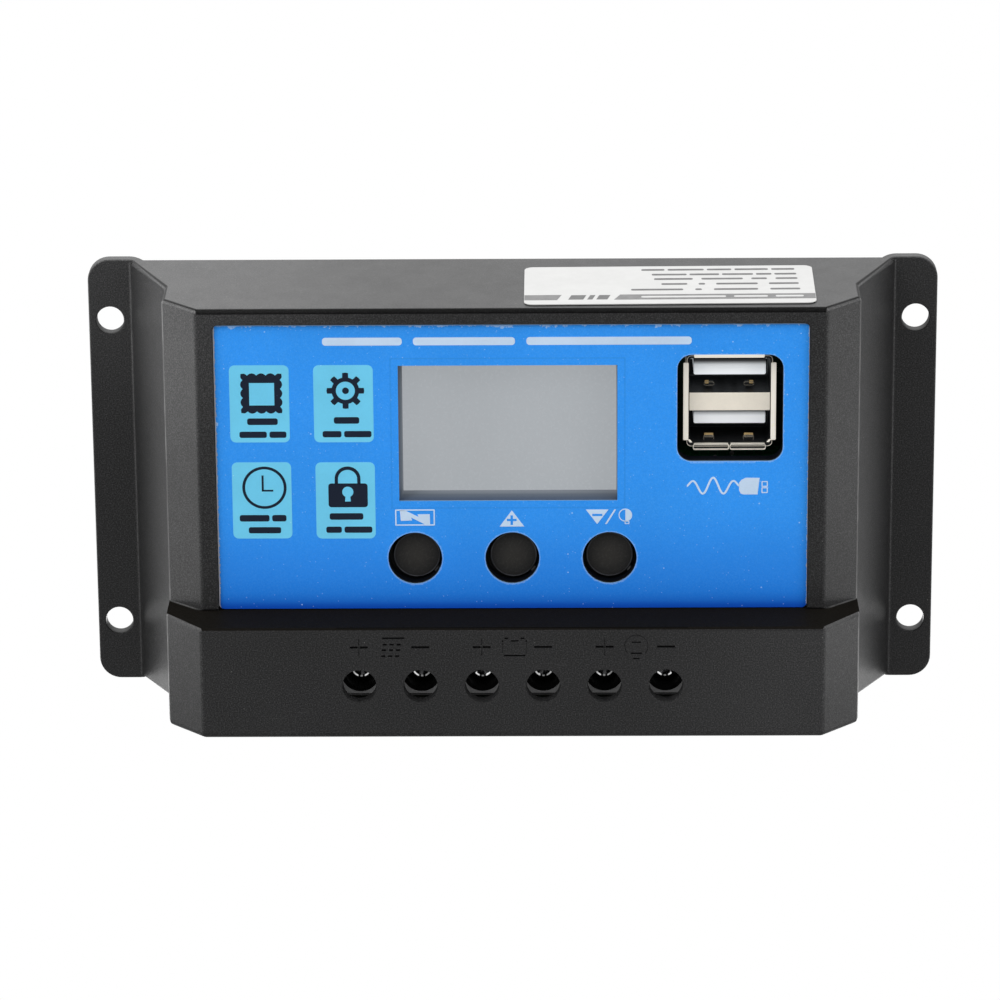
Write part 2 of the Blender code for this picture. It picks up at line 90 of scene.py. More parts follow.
# Display window
LCD_X0, LCD_X1, LCD_H0, LCD_H1 = -17.4, 16.25, 2.5, 24.25
GLASS_D = 21.8

# Buttons
BUTTON_X = (-15.05, 0.0, 15.05)
BUTTON_H = -6.8
BUTTON_HOLE_R = 4.15
CAP_R, CAP_D = 3.68, 24.2
CAP_X = (-14.82, 0.18, 15.05)       # each cap sits where its play lets it

# USB socket opening
USB_X, USB_H = 33.55, 17.3
USB_W, USB_TALL = 16.2, 17.0
USB_CORNER_R = 2.2
USB_D = 23.3                        # front of the socket

# Terminals
POLES = 6
PITCH = 9.46
TERM_X = tuple((k - 2.5) * PITCH for k in range(POLES))
TERM_H = -24.6
TERM_HALF_W = 3 * PITCH
ACCESS_R = 2.6

CORNERS = [(side, end) for side in (-1, 1) for end in (-1, 1)]

LOOK = bpy.data.collections.new("look")
bpy.context.scene.collection.children.link(LOOK)
SCRATCH = bpy.data.collections.new("tmp")
bpy.context.scene.collection.children.link(SCRATCH)


def point(x, h, d):
    """Drawing coordinates to frame metres."""
    return Vector((x * MM, -d * MM, h * MM))


def end_height(d, slope, height=END_H):
    """Height of a drafted end face at depth d; upright behind the wing's face."""
    return height - max(0.0, d - WING_T) * slope


# ============================================================ shader tools
class Signal:
    """A node output; each operator used on it adds one Math node."""

    def __init__(self, nodes, socket):
        self.nodes = nodes
        self.socket = socket

    def __add__(self, other):
        return self.nodes.math('ADD', self, other)

    def __radd__(self, other):
        return self.nodes.math('ADD', other, self)

    def __sub__(self, other):
        return self.nodes.math('SUBTRACT', self, other)

    def __rsub__(self, other):
        return self.nodes.math('SUBTRACT', other, self)

    def __mul__(self, other):
        return self.nodes.math('MULTIPLY', self, other)

    def __rmul__(self, other):
        return self.nodes.math('MULTIPLY', other, self)

    def __truediv__(self, other):
        return self.nodes.math('DIVIDE', self, other)

    def __mod__(self, other):
        return self.nodes.math('MODULO', self, other)

    def __lt__(self, other):
        return self.nodes.math('LESS_THAN', self, other)

    def __gt__(self, other):
        return self.nodes.math('GREATER_THAN', self, other)

    def __abs__(self):
        return self.nodes.math('ABSOLUTE', self)


def highest(first, second):
    return first.nodes.math('MAXIMUM', first, second)


def lowest(first, second):
    return first.nodes.math('MINIMUM', first, second)


def length(across, up):
    return across.nodes.math('SQRT', across * across + up * up)


def dimmed(mask, amount):
    """Factor that is 1 outside the mask and 1 - amount inside it."""
    return 1.0 - mask * amount


class Nodes:
    """Adds nodes to a tree; math_inputs is how many inputs of a Math node are set."""

    def __init__(self, tree, math_inputs=3):
        self.tree = tree
        self.math_inputs = math_inputs

    def add(self, kind, **settings):
        node = self.tree.nodes.new("ShaderNode" + kind)
        for name, value in settings.items():
            setattr(node, name, value)
        return node

    def put(self, socket, value):
        """Link a Signal or set a value; a colour is given as three numbers."""
        if isinstance(value, Signal):
            self.tree.links.new(value.socket, socket)
        elif socket.type == 'RGBA':
            socket.default_value = (*value, 1.0)
        else:
            socket.default_value = value

    def fill(self, node, values):
        for name, value in values.items():
            self.put(node.inputs[name], value)

    def source(self, kind, output):
        return Signal(self, self.add(kind).outputs[output])

    def separate(self, vector):
        node = self.add("SeparateXYZ")
        self.put(node.inputs[0], vector)
        return [Signal(self, output) for output in node.outputs]

    def math(self, operation, first, second=0.0):
        node = self.add("Math", operation=operation)
        for socket, value in zip(node.inputs, (first, second, 0.0)[:self.math_inputs]):
            self.put(socket, value)
        return Signal(self, node.outputs[0])

    def ramp(self, signal, over=(0.3, 0.7), to=(0.0, 1.0)):
        """Smooth step from to[0] to to[1] while the signal crosses over."""
        node = self.add("MapRange", interpolation_type='SMOOTHSTEP', clamp=True)
        self.fill(node, {"Value": signal, "From Min": over[0], "From Max": over[1],
                         "To Min": to[0], "To Max": to[1]})
        return Signal(self, node.outputs["Result"])


class Material(Nodes):
    """A Principled material whose textures are laid out in millimetres."""

    def __init__(self, name):
        self.material = bpy.data.materials.new(name)
        self.material.use_nodes = True
        super().__init__(self.material.node_tree)
        scale = self.add("VectorMath", operation='SCALE')
        self.put(scale.inputs[0], self.source("TexCoord", "Object"))
        self.put(scale.inputs["Scale"], 1000.0)
        self.mm = Signal(self, scale.outputs[0])

    def position(self):
        """x, y and z in millimetres; z is the height h, y is minus the depth d."""
        return self.separate(self.mm)

    def normal(self, kind="Normal"):
        return self.separate(self.source("NewGeometry", kind))

    def mapping(self, **settings):
        node = self.add("Mapping")
        self.put(node.inputs["Vector"], self.mm)
        self.fill(node, settings)
        return Signal(self, node.outputs[0])

    def noise(self, scale, detail=3.0, rough=0.5, vector=None):
        node = self.add("TexNoise")
        self.fill(node, {"Scale": scale, "Detail": detail, "Roughness": rough,
                         "Vector": vector or self.mm})
        return Signal(self, node.outputs["Fac"])

    def cells(self, spacing, size, share):
        """Scattered dots: 1 inside a dot, for the given share of the cells."""
        node = self.add("TexVoronoi")
        self.fill(node, {"Scale": 1.0 / spacing, "Vector": self.mm})
        near_centre = Signal(self, node.outputs["Distance"]) < size / spacing
        split = self.add("SeparateColor")
        self.put(split.inputs[0], Signal(self, node.outputs["Color"]))
        return near_centre * (Signal(self, split.outputs[0]) < share)

    def mix(self, factor, first, second):
        node = self.add("Mix", data_type='RGBA')
        self.put(node.inputs[0], factor)
        self.put(node.inputs[6], first)
        self.put(node.inputs[7], second)
        return Signal(self, node.outputs[2])

    def bump(self, height, strength, depth, under=None):
        """Relief of the given depth in mm, on top of another bump if given."""
        node = self.add("Bump")
        self.fill(node, {"Strength": strength, "Distance": depth * MM, "Height": height})
        if under is not None:
            self.put(node.inputs["Normal"], under)
        return Signal(self, node.outputs[0])

    def finish(self, values, viewport=None):
        self.fill(self.tree.nodes["Principled BSDF"], values)
        if viewport:
            self.material.diffuse_color = (*viewport, 1)
        return self.material


def srgb(*channels):
    """Linear colour from 0-255 display values."""
    linear = []
    for channel in channels:
        level = channel / 255.0
        linear.append(level / 12.92 if level <= 0.04045 else ((level + 0.055) / 1.055) ** 2.4)
    return tuple(linear)


def scaled(rgb, factor):
    return tuple(channel * factor for channel in rgb)


# ============================================================ materials
def plain_material(name, rgb, rough, metal=0.0, mottle=0.12, mottle_scale=0.12,
                   grain=4.0, bump=0.25, bump_depth=0.02, specks=0.0, speck_rgb=None,
                   brushed=None, specular=0.5, glow=None):
    """One-colour surface with mottling, grain and optional specks.

    mottle is the spread of the colour, grain the scale of the fine noise, brushed the
    stretch of the relief, glow a painted reflection: emitted light for a room mirrored in small
    polished faces.
    """
    mat = Material(name)
    colour = mat.mix(mat.ramp(mat.noise(mottle_scale, detail=4.0, rough=0.6)),
                     scaled(rgb, 1.0 - mottle), scaled(rgb, 1.0 + mottle))
    fine = mat.noise(grain, detail=2.0)
    lighter = mat.mix(0.5, colour, scaled(rgb, 1.0 + 2.2 * mottle))
    colour = mat.mix(mat.ramp(fine, to=(0.0, 0.5)), colour, lighter)
    if specks > 0:
        dots = mat.cells(spacing=1.5, size=0.07, share=0.6)
        colour = mat.mix(dots * specks, colour, speck_rgb)
    patches = mat.ramp(mat.noise(0.5, detail=4.0, rough=0.6),
                       over=(0.25, 0.75), to=(rough - 0.08, rough + 0.08))
    relief = fine
    if brushed is not None:
        relief = mat.noise(1.0, rough=0.6, vector=mat.mapping(Scale=brushed))
    values = {
        "Base Color": colour,
        "Roughness": patches + mat.ramp(fine, over=(0.2, 0.8), to=(-0.03, 0.03)),
        "Metallic": metal,
        "Specular IOR Level": specular,
        "Normal": mat.bump(relief, bump, bump_depth),
    }
    if glow is not None:
        values["Emission Color"] = glow
        values["Emission Strength"] = 1.0
    return mat.finish(values, rgb)


def satin_plastic(name, base, rough, shading=None):
    """Black moulding: satin grain, a little dust, faint scuffs.

    shading(mat, colour, specular) may change both by place.
    """
    mat = Material(name)
    rgb = (base, base, base * 1.03)
    colour = mat.mix(mat.ramp(mat.noise(0.05, detail=4.0, rough=0.6)),
                     scaled(rgb, 0.88), scaled(rgb, 1.12))
    grain = mat.noise(4.8, rough=0.75)
    colour = mat.mix(mat.ramp(grain, over=(0.46, 0.76)), colour, scaled(rgb, 4.0))
    dust = mat.cells(spacing=2.6, size=0.075, share=0.5)
    colour = mat.mix(dust * 0.30, colour, (0.40, 0.40, 0.38))
    # thin scuffs: stretched noise, only here and there
    streaks = mat.noise(1.3, detail=2.0, vector=mat.mapping(
        Rotation=(0.3, 0.5, 0.7), Scale=(0.12, 2.4, 2.4)))
    scuff = (mat.ramp(streaks, over=(0.70, 0.76))
             * mat.ramp(mat.noise(0.09, detail=2.0), over=(0.52, 0.65)))
    colour = mat.mix(scuff * 0.22, colour, (0.12, 0.12, 0.12))
    specular = 0.44 + mat.ramp(grain, over=(0.3, 0.75), to=(-0.15, 0.22))
    roughness = mat.ramp(mat.noise(0.25, detail=5.0, rough=0.65),
                         over=(0.25, 0.75), to=(rough - 0.02, rough + 0.03))
    if shading:
        colour, specular = shading(mat, colour, specular)
    fine_relief = mat.bump(grain, strength=0.55, depth=0.036)
    return mat.finish({
        "Base Color": colour,
        "Roughness": roughness + mat.ramp(grain, to=(-0.05, 0.05)),
        "Specular IOR Level": specular,
        "Normal": mat.bump(mat.noise(1.1), strength=0.10, depth=0.03, under=fine_relief),
    }, rgb)


def housing_shading(mat, colour, specular):
    """Painted highlights on the ridges and in a crease, painted shade on the ledge, holes,
    openings and engraved marks, and painted light by place.
    """
    x, y, height = mat.position()
    side = abs(x)
    depth = y * -1.0

    # painted highlight: a lighter line along the moulding ridges, where they catch light
    at_side = mat.ramp(side, over=(SIDE_X - 0.26, SIDE_X - 0.14))
    upper = (abs(depth - RIDGE_D) < 0.30) * (height > STEP_H - 0.2)
    lower = (abs(depth - BLOCK_RIDGE_D) < 0.30) * (height < STEP_H + 0.2)
    ridge = at_side * highest(upper, lower)
    ridge = ridge * mat.ramp(mat.noise(0.35), to=(0.45, 1.0))
    colour = mat.mix(ridge * 0.8, colour, (0.15, 0.15, 0.15))

    # painted shade: the ledge beside the label is darkened and dulled, with a warm tint set
    # against the blue light bounced from the label
    normal_x, _, normal_z = mat.normal()
    ledge = mat.ramp(normal_z, over=(0.12, 0.45)) * (abs(height - STEP_H) < 1.0)
    ledge = ledge * mat.ramp(abs(normal_x), over=(0.16, 0.34), to=(1.0, 0.0))
    specular = specular * dimmed(ledge, 0.99)
    colour = mat.mix(ledge * 0.85, colour, (0.0058, 0.0049, 0.0036))

    # painted highlight: a thin light line in the crease between the body's side chamfers and the
    # ledge
    run_x, run_d = SIDE_X - FRONT_X, FRONT_D - RIDGE_D
    run = math.hypot(run_d, run_x)
    away = (side - SIDE_X) * (run_d / run) + (depth - RIDGE_D) * (run_x / run)
    crease_highlight = (abs(away) < 0.26) * (abs(height - STEP_H) < 0.13)
    crease_highlight = crease_highlight * mat.ramp(side, over=(FRONT_X + 0.2, FRONT_X + 1.6))
    colour = mat.mix(crease_highlight * mat.ramp(mat.noise(0.35), to=(0.45, 0.85)),
                     colour, (0.11, 0.11, 0.11))

    # painted light on the flanks: darker towards the fold, lighter towards the side
    lean = abs(normal_x)
    flank = (mat.ramp(lean, over=(0.45, 0.70))
             * ((depth > WING_T + 0.12) * (depth < FLANK_D + 0.6)))
    flank_light = mat.ramp(depth, over=(WING_T, FLANK_D), to=(0.60, 1.30))
    gain = 1.0 + flank * (flank_light - 1.0)
    # painted light: brighter to the upper left, and on the right of the terminal block
    corner = (mat.ramp(x, over=(-48.0, -14.0), to=(1.0, 0.0))
              * mat.ramp(height, over=(4.0, 29.0)))
    right = (mat.ramp(x, over=(15.0, 44.0))
             * ((height < STEP_H - 0.6) * (depth > 28.2)))
    gain = gain + (corner * 0.42 + right * 0.32)

    # upper edge: painted shade on the roll above the label,
    # painted highlight on the side rolls under a painted dark line
    high = height > 31.4
    front = (depth > 24.9) * (lean < 0.25)
    brow = ((mat.ramp(normal_z, over=(0.03, 0.12))
             * mat.ramp(normal_z, over=(0.93, 0.985), to=(1.0, 0.0))) * (high * front))
    side_roll = (high * (depth > WING_T + 0.15)) * (lean > 0.12)
    dark_line = (mat.ramp(normal_z, over=(0.72, 0.80))
                 * mat.ramp(normal_z, over=(0.95, 0.985), to=(1.0, 0.0))) * side_roll
    light_line = (mat.ramp(normal_z, over=(0.15, 0.35))
                  * mat.ramp(normal_z, over=(0.55, 0.70), to=(1.0, 0.0))) * side_roll
    # painted shade on the walls of the four fixing holes
    hole = (((side > HOLE_X - 2.6) * (side < HOLE_X + 2.5))
            * ((abs(abs(height) - HOLE_H) < 2.7) * mat.ramp(normal_z, over=(0.15, 0.5))))
    gain = gain * dimmed(brow, 0.82)
    gain = gain * dimmed(hole, 0.55)
    gain = gain * dimmed(dark_line, 0.72)
    gain = gain * (1.0 + light_line * 0.30)
    specular = specular * gain
    grey_gain = mat.add("CombineXYZ")
    for socket in grey_gain.inputs:
        mat.put(socket, gain)
    product = mat.add("VectorMath", operation='MULTIPLY')
    mat.put(product.inputs[0], colour)
    mat.put(product.inputs[1], Signal(mat, grey_gain.outputs[0]))
    colour = Signal(mat, product.outputs[0])

    # painted deep shade on the walls of the button and socket openings
    inner = (((depth < 25.3) * (depth > 20.5))
             * ((side < LABEL_X - 1.0) * (abs(height - 7.5) < 20.5)))
    colour = mat.mix(inner, colour, (0.0042, 0.0052, 0.0080))
    # painted shade on the floors of the engraved marks
    groove = ((depth < 34.79) * (depth > 34.6)) * ((side < 27.0) * (height > -20.6))
    colour = mat.mix(groove * 0.8, colour, (0.003, 0.003, 0.003))
    specular = specular * dimmed(highest(inner, groove), 0.93)
    return colour, specular


BLUE = srgb(48, 149, 245)
CUT_EDGE = (0.46, 0.43, 0.41)


def label_wear(mat, x, height, chips):
    """Worn edges: top, left, right, and the rims of the cut holes."""
    wide = mat.ramp(mat.noise(0.75, detail=4.0, rough=0.7), over=(0.50, 0.74), to=(0.10, 0.75))
    top = (LABEL_HI - height) < wide
    left = (x - -LABEL_FILM_X) < wide * 0.9
    right = (LABEL_FILM_X - x) < wide * 0.55
    wear = highest(highest(top * 0.60, left * 0.62), right * 0.5)
    for button_x in BUTTON_X:
        rim = length(x - button_x, height - BUTTON_H) < mat.ramp(
            chips, over=(0.40, 0.75), to=(BUTTON_HOLE_R + 0.16, BUTTON_HOLE_R + 0.36))
        wear = highest(wear, rim * 0.24)
    # distance outside the rounded socket opening
    past_x = abs(x - USB_X) - USB_W / 2
    past_h = abs(height - USB_H) - USB_TALL / 2
    outside = length(highest(past_x + USB_CORNER_R, 0.0),
                     highest(past_h + USB_CORNER_R, 0.0)) - USB_CORNER_R
    rim = outside < mat.ramp(chips, over=(0.40, 0.8), to=(0.10, 0.40))
    return highest(wear, rim * 0.30)


def label_material():
    """Blue printed film with painted shade at its lower edge, flecks and worn edges."""
    mat = Material("label_print")
    x, _, height = mat.position()
    colour = mat.mix(mat.ramp(mat.noise(0.04)), scaled(BLUE, 0.955), scaled(BLUE, 1.035))
    fine = mat.noise(4.6, rough=0.65)
    colour = mat.mix(mat.ramp(fine, over=(0.42, 0.72), to=(0.0, 0.14)),
                     colour, (0.20, 0.56, 0.98))
    blotch = mat.noise(3.4, detail=2.0, rough=0.6)
    colour = mat.mix(mat.ramp(blotch, over=(0.40, 0.68), to=(0.0, 0.16)),
                     colour, (0.012, 0.17, 0.66))
    # painted shade: the film darkens towards its lower edge beside the step
    colour = mat.mix(mat.ramp(height, over=(-13.0, 3.0), to=(0.38, 0.0)),
                     colour, (0.004, 0.125, 0.66))
    edge = mat.ramp(height, over=(LABEL_LO, -12.2), to=(1.0, 0.0))
    colour = mat.mix(edge * 0.70, colour, (0.004, 0.055, 0.42))
    colour = mat.mix(mat.ramp(height, over=(LABEL_LO, -13.7), to=(0.96, 0.0)),
                     colour, (0.0006, 0.014, 0.32))
    colour = mat.mix(mat.ramp(height, over=(LABEL_LO, -9.5), to=(0.45, 0.0)),
                     colour, (0.010, 0.13, 0.60))
    # faint frame where the clear window film is bonded
    from_mid_x = abs(x - (LCD_X0 + LCD_X1) / 2)
    from_mid_h = abs(height - (LCD_H0 + LCD_H1) / 2)
    outside = highest(from_mid_x - (LCD_X1 - LCD_X0) / 2, from_mid_h - (LCD_H1 - LCD_H0) / 2)
    frame_line = (mat.ramp(outside, over=(0.95, 1.1))
                  * mat.ramp(outside, over=(1.15, 1.35), to=(1.0, 0.0)))
    colour = mat.mix(frame_line * 0.22, colour, scaled(BLUE, 0.55))
    # tiny light flecks
    close = mat.cells(spacing=0.85, size=0.080, share=0.55)
    sparse = mat.cells(spacing=2.1, size=0.12, share=0.45)
    middling = mat.cells(spacing=1.35, size=0.10, share=0.6)
    flecks = highest(highest(close * 0.26, sparse * 0.50), middling * 0.20)
    colour = mat.mix(flecks, colour, (0.55, 0.78, 0.98))
    chips = mat.noise(2.6, rough=0.7)
    wear = label_wear(mat, x, height, chips)
    colour = mat.mix(wear, colour, (0.50, 0.70, 0.93))
    left_lip = (x + LABEL_FILM_X) < mat.ramp(chips, over=(0.35, 0.75), to=(0.14, 0.34))
    right_lip = (LABEL_FILM_X - x) < mat.ramp(chips, over=(0.40, 0.75), to=(0.02, 0.20))
    colour = mat.mix(highest(left_lip, right_lip) * 0.85, colour, CUT_EDGE)
    # paper core on the cut edge of the film
    _, normal_y, _ = mat.normal("True Normal")
    cut_face = abs(normal_y) < 0.5
    outer = abs(x) > LABEL_X - 0.4
    colour = mat.mix(cut_face, colour, mat.mix(outer, (0.16, 0.30, 0.50), CUT_EDGE))
    return mat.finish({
        "Base Color": colour,
        "Roughness": mat.ramp(mat.noise(0.8), to=(0.40, 0.48)) + wear * 0.2,
        # lower specular towards the lower edge, part of the painted shade
        "Specular IOR Level": mat.ramp(height, over=(LABEL_LO, -9.0), to=(0.03, 0.15)),
        "Normal": mat.bump(fine * 0.6 + wear * -0.6, strength=0.22, depth=0.015),
    }, BLUE)


def liner_material():
    """Walls of the display window with painted shade: pale at the glass, darker and bluish at the
    label.
    """
    mat = Material("window_liner_plastic")
    _, y, _ = mat.position()
    # painted shade: the walls darken and turn bluish from the glass out to the label
    forward = mat.ramp(y * -1.0, over=(GLASS_D, LABEL_FRONT_D - 0.2))
    grain = mat.noise(3.0)
    inner_half = mat.mix(mat.ramp(forward, over=(0.0, 0.45)),
                         (0.170, 0.190, 0.218), (0.076, 0.098, 0.132))
    colour = mat.mix(mat.ramp(forward, over=(0.45, 1.0)), inner_half, (0.030, 0.053, 0.100))
    return mat.finish({
        "Base Color": mat.mix(mat.ramp(grain, to=(0.0, 0.04)), colour, (0.5, 0.52, 0.55)),
        "Roughness": mat.ramp(grain, over=(0.2, 0.8), to=(0.5, 0.62)),
        "Normal": mat.bump(grain, strength=0.15, depth=0.01),
    })


def display_material():
    """Grey display with painted light: an even glow, with painted shade a touch darker at the
    right.
    """
    mat = Material("display_face")
    x, _, _ = mat.position()
    fine = mat.noise(2.0, detail=2.0)
    light = mat.ramp(mat.noise(0.05, detail=2.0, rough=0.4), to=(0.97, 1.03))
    # painted shade towards the right
    light = light * mat.ramp(x, over=(8.0, 18.0), to=(1.0, 0.93))
    light = light * mat.ramp(fine, to=(0.99, 1.01))
    return mat.finish({
        "Base Color": mat.mix(fine, (0.055, 0.058, 0.061), (0.06, 0.063, 0.066)),
        # painted light: the glow stands in for the light falling on the display
        "Emission Color": (0.345, 0.366, 0.386),
        "Emission Strength": light,
        "Specular IOR Level": 0.3,
        "Roughness": mat.ramp(fine, to=(0.24, 0.28)),
        "Normal": mat.bump(fine, strength=0.04, depth=0.01),
    }, (0.4, 0.42, 0.44))


def cap_material():
    """Matte button caps: lighter and warmer in the middle, painted highlights on the rim and the
    rib, painted shade at the outer edge.
    """
    mat = Material("button_matte_plastic")
    x, y, height = mat.position()
    depth = y * -1.0
    grain = mat.noise(3.6, rough=0.75)
    left, middle, right = [length(x - cap_x, height - BUTTON_H) for cap_x in CAP_X]
    radius = lowest(lowest(left, middle), right)
    colour = mat.mix(mat.ramp(grain, over=(0.45, 0.78)),
                     (0.0118, 0.0110, 0.0102), (0.034, 0.032, 0.029))
    # lighter and warmer towards the middle of each cap
    colour = mat.mix(mat.ramp(radius, over=(0.0, 3.3), to=(0.30, 0.0)),
                     colour, (0.036, 0.033, 0.028))
    # painted highlight: a lighter ring on each cap's rounded rim
    rim = ((mat.ramp(radius, over=(CAP_R - 0.34, CAP_R - 0.20))
            * mat.ramp(radius, over=(CAP_R - 0.14, CAP_R - 0.02), to=(1.0, 0.0)))
           * (depth > CAP_D - 0.45))
    rim = rim * mat.ramp(mat.noise(0.5), to=(0.35, 1.0))
    colour = mat.mix(rim * 0.9, colour, (0.125, 0.13, 0.145))
    # painted shade: near black at the outer edge of the cap, by the gap round it
    colour = mat.mix(mat.ramp(radius, over=(CAP_R - 0.07, CAP_R - 0.01)),
                     colour, (0.002, 0.0022, 0.003))
    # painted highlight: the rib on the cap's wall is lighter
    rib = (radius > CAP_R + 0.03) * (radius < CAP_R + 0.4)
    colour = mat.mix(rib * (depth > 23.2), colour, (0.05, 0.05, 0.05))
    return mat.finish({
        "Base Color": colour,
        "Roughness": mat.ramp(grain, to=(0.46, 0.56)),
        "Specular IOR Level": 0.45,
        "Normal": mat.bump(grain, strength=0.4, depth=0.028),
    }, (0.02, 0.02, 0.02))


def tongue_material():
    """White USB tongues with painted light from a glow, and painted shade at the root of each,
    under the sheet above it.
    """
    between_ports = 19.0
    mat = Material("usb_tongue_plastic")
    _, _, height = mat.position()
    fine = mat.noise(4.0, detail=2.0)
    colour = mat.mix(mat.ramp(mat.noise(0.3)), (0.88, 0.90, 0.92), (0.92, 0.94, 0.96))
    upper_shade = mat.ramp(height, over=(23.15, 24.0)) * (height > between_ports)
    lower_shade = mat.ramp(height, over=(15.0, 15.75)) * (height < between_ports)
    shade = highest(upper_shade, lower_shade * 0.45)
    # painted light: the tongues glow, the upper one more strongly
    upper_light = mat.ramp(height, over=(21.7, 23.6), to=(0.36, 0.24)) * (height > between_ports)
    lower_light = 0.08 * (height < between_ports)
    return mat.finish({
        "Base Color": mat.mix(shade, colour, (0.05, 0.05, 0.055)),
        "Emission Color": (0.80, 0.86, 0.90),
        "Emission Strength": upper_light * (1.0 - upper_shade) + lower_light,
        "Roughness": mat.ramp(fine, to=(0.35, 0.41)),
        "Normal": mat.bump(fine, strength=0.12, depth=0.01),
    }, (0.8, 0.82, 0.84))


def screw_material():
    """Zinc darkened as painted shade for the depth of the bores, with painted glints: a lamp
    mirrored in the rounded shoulder of each head.
    """
    mat = Material("screw_bright_zinc")
    x, y, height = mat.position()
    fine = mat.noise(6.0)
    across = (x + TERM_HALF_W) % PITCH - PITCH / 2
    up = height - TERM_H
    radius = length(across, up)
    band = (mat.ramp(radius, over=(1.20, 1.34))
            * mat.ramp(radius, over=(1.42, 1.58), to=(1.0, 0.0)))
    aside = abs(across)
    arcs = ((mat.ramp(aside, over=(0.42, 0.62))
             * mat.ramp(aside, over=(1.20, 1.42), to=(1.0, 0.0)))
            * mat.ramp(up, over=(-0.45, -0.20), to=(1.0, 0.0)))
    patchy = mat.ramp(mat.noise(0.42, detail=1.0), over=(0.35, 0.62), to=(0.25, 1.0))
    middle = (mat.ramp(aside, over=(0.10, 0.24), to=(1.0, 0.0))
              * mat.ramp(up, over=(-1.0, -0.8), to=(1.0, 0.0))) * 0.22
    glint = (band * (arcs * patchy + middle)) * (y * -1.0 > 25.9)
    return mat.finish({
        # painted shade: a dark zinc, so the heads read dark deep in their bores
        "Base Color": mat.mix(mat.ramp(mat.noise(0.8)), (0.17, 0.17, 0.175), (0.24, 0.24, 0.245)),
        "Metallic": 1.0,
        "Roughness": mat.ramp(fine, to=(0.24, 0.30)),
        "Normal": mat.bump(fine, strength=0.2, depth=0.008),
        "Emission Color": (1, 1, 1),
        "Emission Strength": glint * 0.85,
    }, (0.7, 0.7, 0.7))


def terminal_material():
    """Grey moulding, with painted light on its front face (a lighter colour and a faint glow) and
    painted shade in the bores.
    """
    mat = Material("terminal_moulding")
    _, normal_y, _ = mat.normal("True Normal")
    x, y, _ = mat.position()
    depth = y * -1.0
    fine = mat.noise(5.0, detail=2.0)
    # painted light on the front face between the bores, painted shade inside them
    front = (normal_y < -0.92) * (depth > 29.9)
    bore = (1.0 - front) * ((depth > 24.2) * (abs(x) < TERM_HALF_W - 0.2))
    colour = mat.mix(mat.ramp(fine), (0.115, 0.117, 0.12), (0.14, 0.142, 0.145))
    colour = mat.mix(front, colour, mat.mix(
        mat.ramp(fine), (0.24, 0.243, 0.247), (0.30, 0.303, 0.307)))
    return mat.finish({
        "Base Color": mat.mix(bore, colour, (0.018, 0.018, 0.0183)),
        "Roughness": mat.ramp(fine, to=(0.38, 0.46)),
        "Specular IOR Level": 0.5 - bore * 0.48,
        "Emission Color": (1, 1, 1),
        "Emission Strength": front * 0.030,
        "Normal": mat.bump(fine, strength=0.2, depth=0.012),
    })


def board_material():
    """Green solder mask with tracks and pads, with painted shade round the USB socket."""
    mat = Material("board_solder_mask")
    x, _, height = mat.position()
    brick = mat.add("TexBrick")
    mat.fill(brick, {"Scale": 0.35, "Mortar Size": 0.035,
                     "Vector": mat.mapping(Rotation=(math.radians(90), 0, 0))})
    tracks = Signal(mat, brick.outputs["Fac"])
    pads = mat.cells(spacing=2.6, size=0.55, share=0.5)
    # painted shade: the board is darkened under the USB socket
    socket_shade = (mat.ramp(abs(x - USB_X), over=(9.0, 12.0), to=(1.0, 0.0))
                 * mat.ramp(abs(height - USB_H), over=(10.0, 13.0), to=(1.0, 0.0)))
    colour = mat.mix(mat.ramp(mat.noise(0.1)), (0.010, 0.11, 0.035), (0.014, 0.15, 0.05))
    colour = mat.mix(tracks * 0.6, colour, (0.03, 0.27, 0.10))
    colour = mat.mix(pads * 0.7, colour, (0.55, 0.55, 0.52))
    return mat.finish({
        "Base Color": mat.mix(socket_shade * 0.9, colour, (0.003, 0.006, 0.008)),
        "Roughness": mat.ramp(mat.noise(0.7), to=(0.28, 0.42)),
        "Specular IOR Level": 0.5 - socket_shade * 0.42,
        "Normal": mat.bump(tracks + pads, strength=0.3, depth=0.03),
    })


# M_ marks a material.  Shared surface settings: ink on film or paper, small metal parts.
INK_SURFACE = dict(grain=3.0, bump=0.15, bump_depth=0.01)
PRINT = dict(INK_SURFACE, specular=0.15)
METAL = dict(grain=5.0, bump=0.2, bump_depth=0.01)
LIP = dict(METAL, metal=0.12, mottle=0.035, mottle_scale=0.3)
LIP_RGB = (0.92, 0.88, 0.78)

M_HOUSING = satin_plastic("housing_satin_plastic", 0.0115, 0.44, housing_shading)
M_COVER = satin_plastic("cover_satin_plastic", 0.014, 0.48)
M_LABEL = label_material()
M_LINER = liner_material()
M_TILE = plain_material("tile_print", srgb(111, 203, 238), 0.42, mottle=0.04,
                        specks=0.35, speck_rgb=(0.75, 0.9, 0.98), **PRINT)
M_DARK = plain_material("pictogram_print", srgb(26, 34, 50), 0.45,
                        specks=0.2, speck_rgb=(0.2, 0.4, 0.6), **PRINT)
M_LIGHT = plain_material("symbol_print", srgb(196, 217, 240), 0.45, mottle=0.05, **PRINT)
M_WORN = plain_material("worn_print", srgb(118, 178, 240), 0.5, mottle=0.1,
                        mottle_scale=0.8, **PRINT)
M_LCD = display_material()
M_CAP = cap_material()
M_STICKER = plain_material("sticker_paper", srgb(181, 181, 180), 0.55, mottle=0.02,
                           grain=3.0, bump=0.2, bump_depth=0.01,
                           specks=0.2, speck_rgb=(0.6, 0.6, 0.6))
M_STRIP = plain_material("sticker_grey_ink", srgb(98, 98, 98), 0.5, mottle=0.06, **INK_SURFACE)
M_INK = plain_material("sticker_dark_ink", srgb(78, 78, 78), 0.5, mottle=0.1, **INK_SURFACE)
